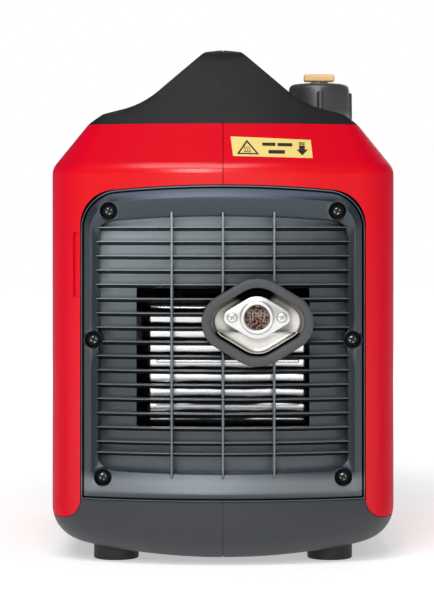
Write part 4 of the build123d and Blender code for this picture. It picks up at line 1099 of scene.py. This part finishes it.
rubberRing()
dishPan()
dishTray()
outletFlange()
sparkScreen()
print("outlet done")


# sticker on the leaning band

labelValues = {"shoulder": 30.0, "low": 330.0, "high": 367.0, "proud": 0.62, "thick": 0.3, "innerShare": 0.74,
               "columns": 40, "film": (0.1, 0.4)}


def bandPoint(x, z, proud, values=labelValues):
    # a point on the leaning, bulged band, or proud of it
    slope = values["shoulder"] / (values["high"] - values["low"])
    inset = (z - values["low"]) * slope - proud * math.hypot(1, slope)
    return (x, endWallY(x, inset), z)


def bandShape(name, outline, low, high, step=1.5):
    # a thin raised shape on the band, its outline split so that it follows the bulge
    points = []
    for i, here in enumerate(outline):
        there = outline[(i + 1) % len(outline)]
        parts = max(1, int(math.dist(here, there) / step))
        points += [tuple(a + (b - a) * k / parts for a, b in zip(here, there)) for k in range(parts)]
    loops = [[bandPoint(x, z, proud) for x, z in points] for proud in (low, high)]
    return meshFromLoops(name, loops, capped=True)


def heatWave(x, z, height, width=0.55, swing=0.45, steps=14):
    # a wavy upright line
    left, right = [], []
    for i in range(steps + 1):
        t = i / steps
        middle = x + swing * math.sin(2 * math.pi * t)
        left.append((middle - width / 2, z + height * t))
        right.append((middle + width / 2, z + height * t))
    return left + right[::-1]


def hotSticker(values=labelValues):
    low, high = values["proud"] - values["thick"], values["proud"]
    a, b, c = Vector((11.4, 340.8)), Vector((29.9, 340.5)), Vector((19.8, 352.9))
    middle = (a + b + c) / 3
    inner = [middle + (p - middle) * values["innerShare"] for p in (a, b, c)]
    sides = [(a, b, inner[1], inner[0]), (b, c, inner[2], inner[1]), (c, a, inner[0], inner[2])]
    shapes = [[tuple(p) for p in side] for side in sides]
    shapes += [heatWave(18.2 + 1.9 * k, 343.4, 4.0) for k in range(3)]
    shapes.append([(17.2, 342.5), (23.4, 342.4), (23.4, 343.0), (17.2, 343.1)])
    for x0, x1, z0, z1 in ((32.5, 43.5, 347.9, 350.6), (45.3, 57.6, 347.6, 350.3), (37.6, 51.4, 341.3, 344.3)):
        shapes.append([(x0, z0), (x1, z0 - 0.1), (x1, z1 - 0.1), (x0, z1)])
    shapes.append([(63.2, 344.7), (61.1, 344.9), (65.7, 339.9), (70.6, 344.9), (68.0, 344.7), (68.0, 348.3),
                   (63.2, 348.3)])
    shapes += [[(63.0, z), (68.0, z), (68.0, z + h), (63.0, z + h)] for z, h in ((349.1, 0.9), (350.7, 0.5))]
    marks = combined("hotMarks", [bandShape("mark", shape, low, high) for shape in shapes])
    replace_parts(newPiece("hotMarks", marks, "case", blackInk), "hot_label")
    columns, film = [], values["film"]
    for t in (i / values["columns"] for i in range(values["columns"] + 1)):
        bottom = Vector((8.3, 339.1)).lerp(Vector((74.4, 337.6)), t)
        top = Vector((6.3, 355.8)).lerp(Vector((73.2, 353.1)), t)
        corners = ((bottom, film[0]), (bottom, film[1]), (top, film[1]), (top, film[0]))
        columns.append([bandPoint(*edge, proud) for edge, proud in corners])
    mesh = meshFromLoops("hotFilm", columns, capped=True)
    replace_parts(newPiece("hotFilm", mesh, "case", yellowFilm), "hot_label")


hotSticker()


# fuel cap with four finger fins

capValues = {"centre": (85.0, -95.0), "radius": 27.0, "steps": 180, "fins": 4, "finHalfWidth": 1.6,
             "finHeight": 2.0, "finTop": 399.0, "finFoot": 26.5, "finSlope": 0.5}


def fuelCap(values=capValues):
    cx, cy = values["centre"]
    outer = [(26.9, 375.5), (27.2, 376.1), (27.1, 384), (27.0, 392), (26.9, 398.4), (26.8, 399.4), (26.6, 402.0),
             (26.2, 403.6), (25.3, 405.1), (23.9, 406.1), (22.0, 406.7), (16.0, 407.2), (8.4, 407.5), (8.0, 408.3),
             (7.5, 408.5), (3.4, 408.5), (3.1, 408.2), (3.1, 402.0), (0.3, 402.0), (0.3, 400.0), (6.3, 399.9),
             (6.3, 395.9), (25.4, 395.9), (25.4, 375.5)]
    fins = [2 * math.pi * k / values["fins"] - math.pi / 2 for k in range(values["fins"])]
    loops = []
    for radius, z in outer:
        loop = []
        for i in range(values["steps"]):
            angle = 2 * math.pi * i / values["steps"]
            near = min(abs(math.remainder(angle - fin, 2 * math.pi)) for fin in fins) * values["radius"]
            edge = max(0.0, min(1.0, (values["finHalfWidth"] + values["finSlope"] - near) / values["finSlope"]))
            finned = z < values["finTop"] and radius > values["finFoot"]
            lift = values["finHeight"] * edge if finned else 0.0
            loop.append((cx + (radius + lift) * math.cos(angle), cy + (radius + lift) * math.sin(angle), z))
        loops.append(loop)
    mesh = meshFromLoops("finnedCap", loops)
    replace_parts(newPiece("finnedCap", mesh, "fuel_cap", capBlack), "fuel_cap")


fuelCap()


# tongues in the seams between moulded halves


tongueValues = {"flush": 0.02, "shrink": 0.9, "thick": 0.7}


def seamTongue(name, node, material, values=tongueValues):
    # a strip along the seam face of the left half, so that no light passes between the halves
    bm = nodeCopy(node)
    edgeX = max(v.co.x for v in bm.verts)
    kept = {f for f in bm.faces if all(abs(v.co.x - edgeX) < values["flush"] * mm for v in f.verts)}
    bmesh.ops.delete(bm, geom=[f for f in bm.faces if f not in kept], context="FACES")
    bmesh.ops.inset_region(bm, faces=bm.faces[:], thickness=values["shrink"] * mm, use_even_offset=True,
                           use_boundary=True)
    rim = [f for f in bm.faces if any(e.is_boundary for e in f.edges)]
    bmesh.ops.delete(bm, geom=rim, context="FACES")
    back = bmesh.ops.extrude_face_region(bm, geom=bm.faces[:])
    moved = [v for v in back["geom"] if isinstance(v, bmesh.types.BMVert)]
    bmesh.ops.translate(bm, verts=moved, vec=(values["thick"] * mm, 0, 0))
    bmesh.ops.recalc_face_normals(bm, faces=bm.faces)
    newPiece(name, meshFrom(bm, name), "case", material)


seamTongue("leftShellTongue", "left_shell", seamRed)
seamTongue("topCoverTongue", "top_cover_left", coverCharcoal)
seamTongue("baseLeftTongue", "base_left", baseGrey)
print("small pieces done")


# the scene around it

makeCamera(cameraValues)
for name, values in lightValues.items():
    makeLight(name, values)
makeWorld(worldValues)
makeFloor(floorValues)
bpy.context.scene.view_settings.view_transform = "Standard"

print("done")
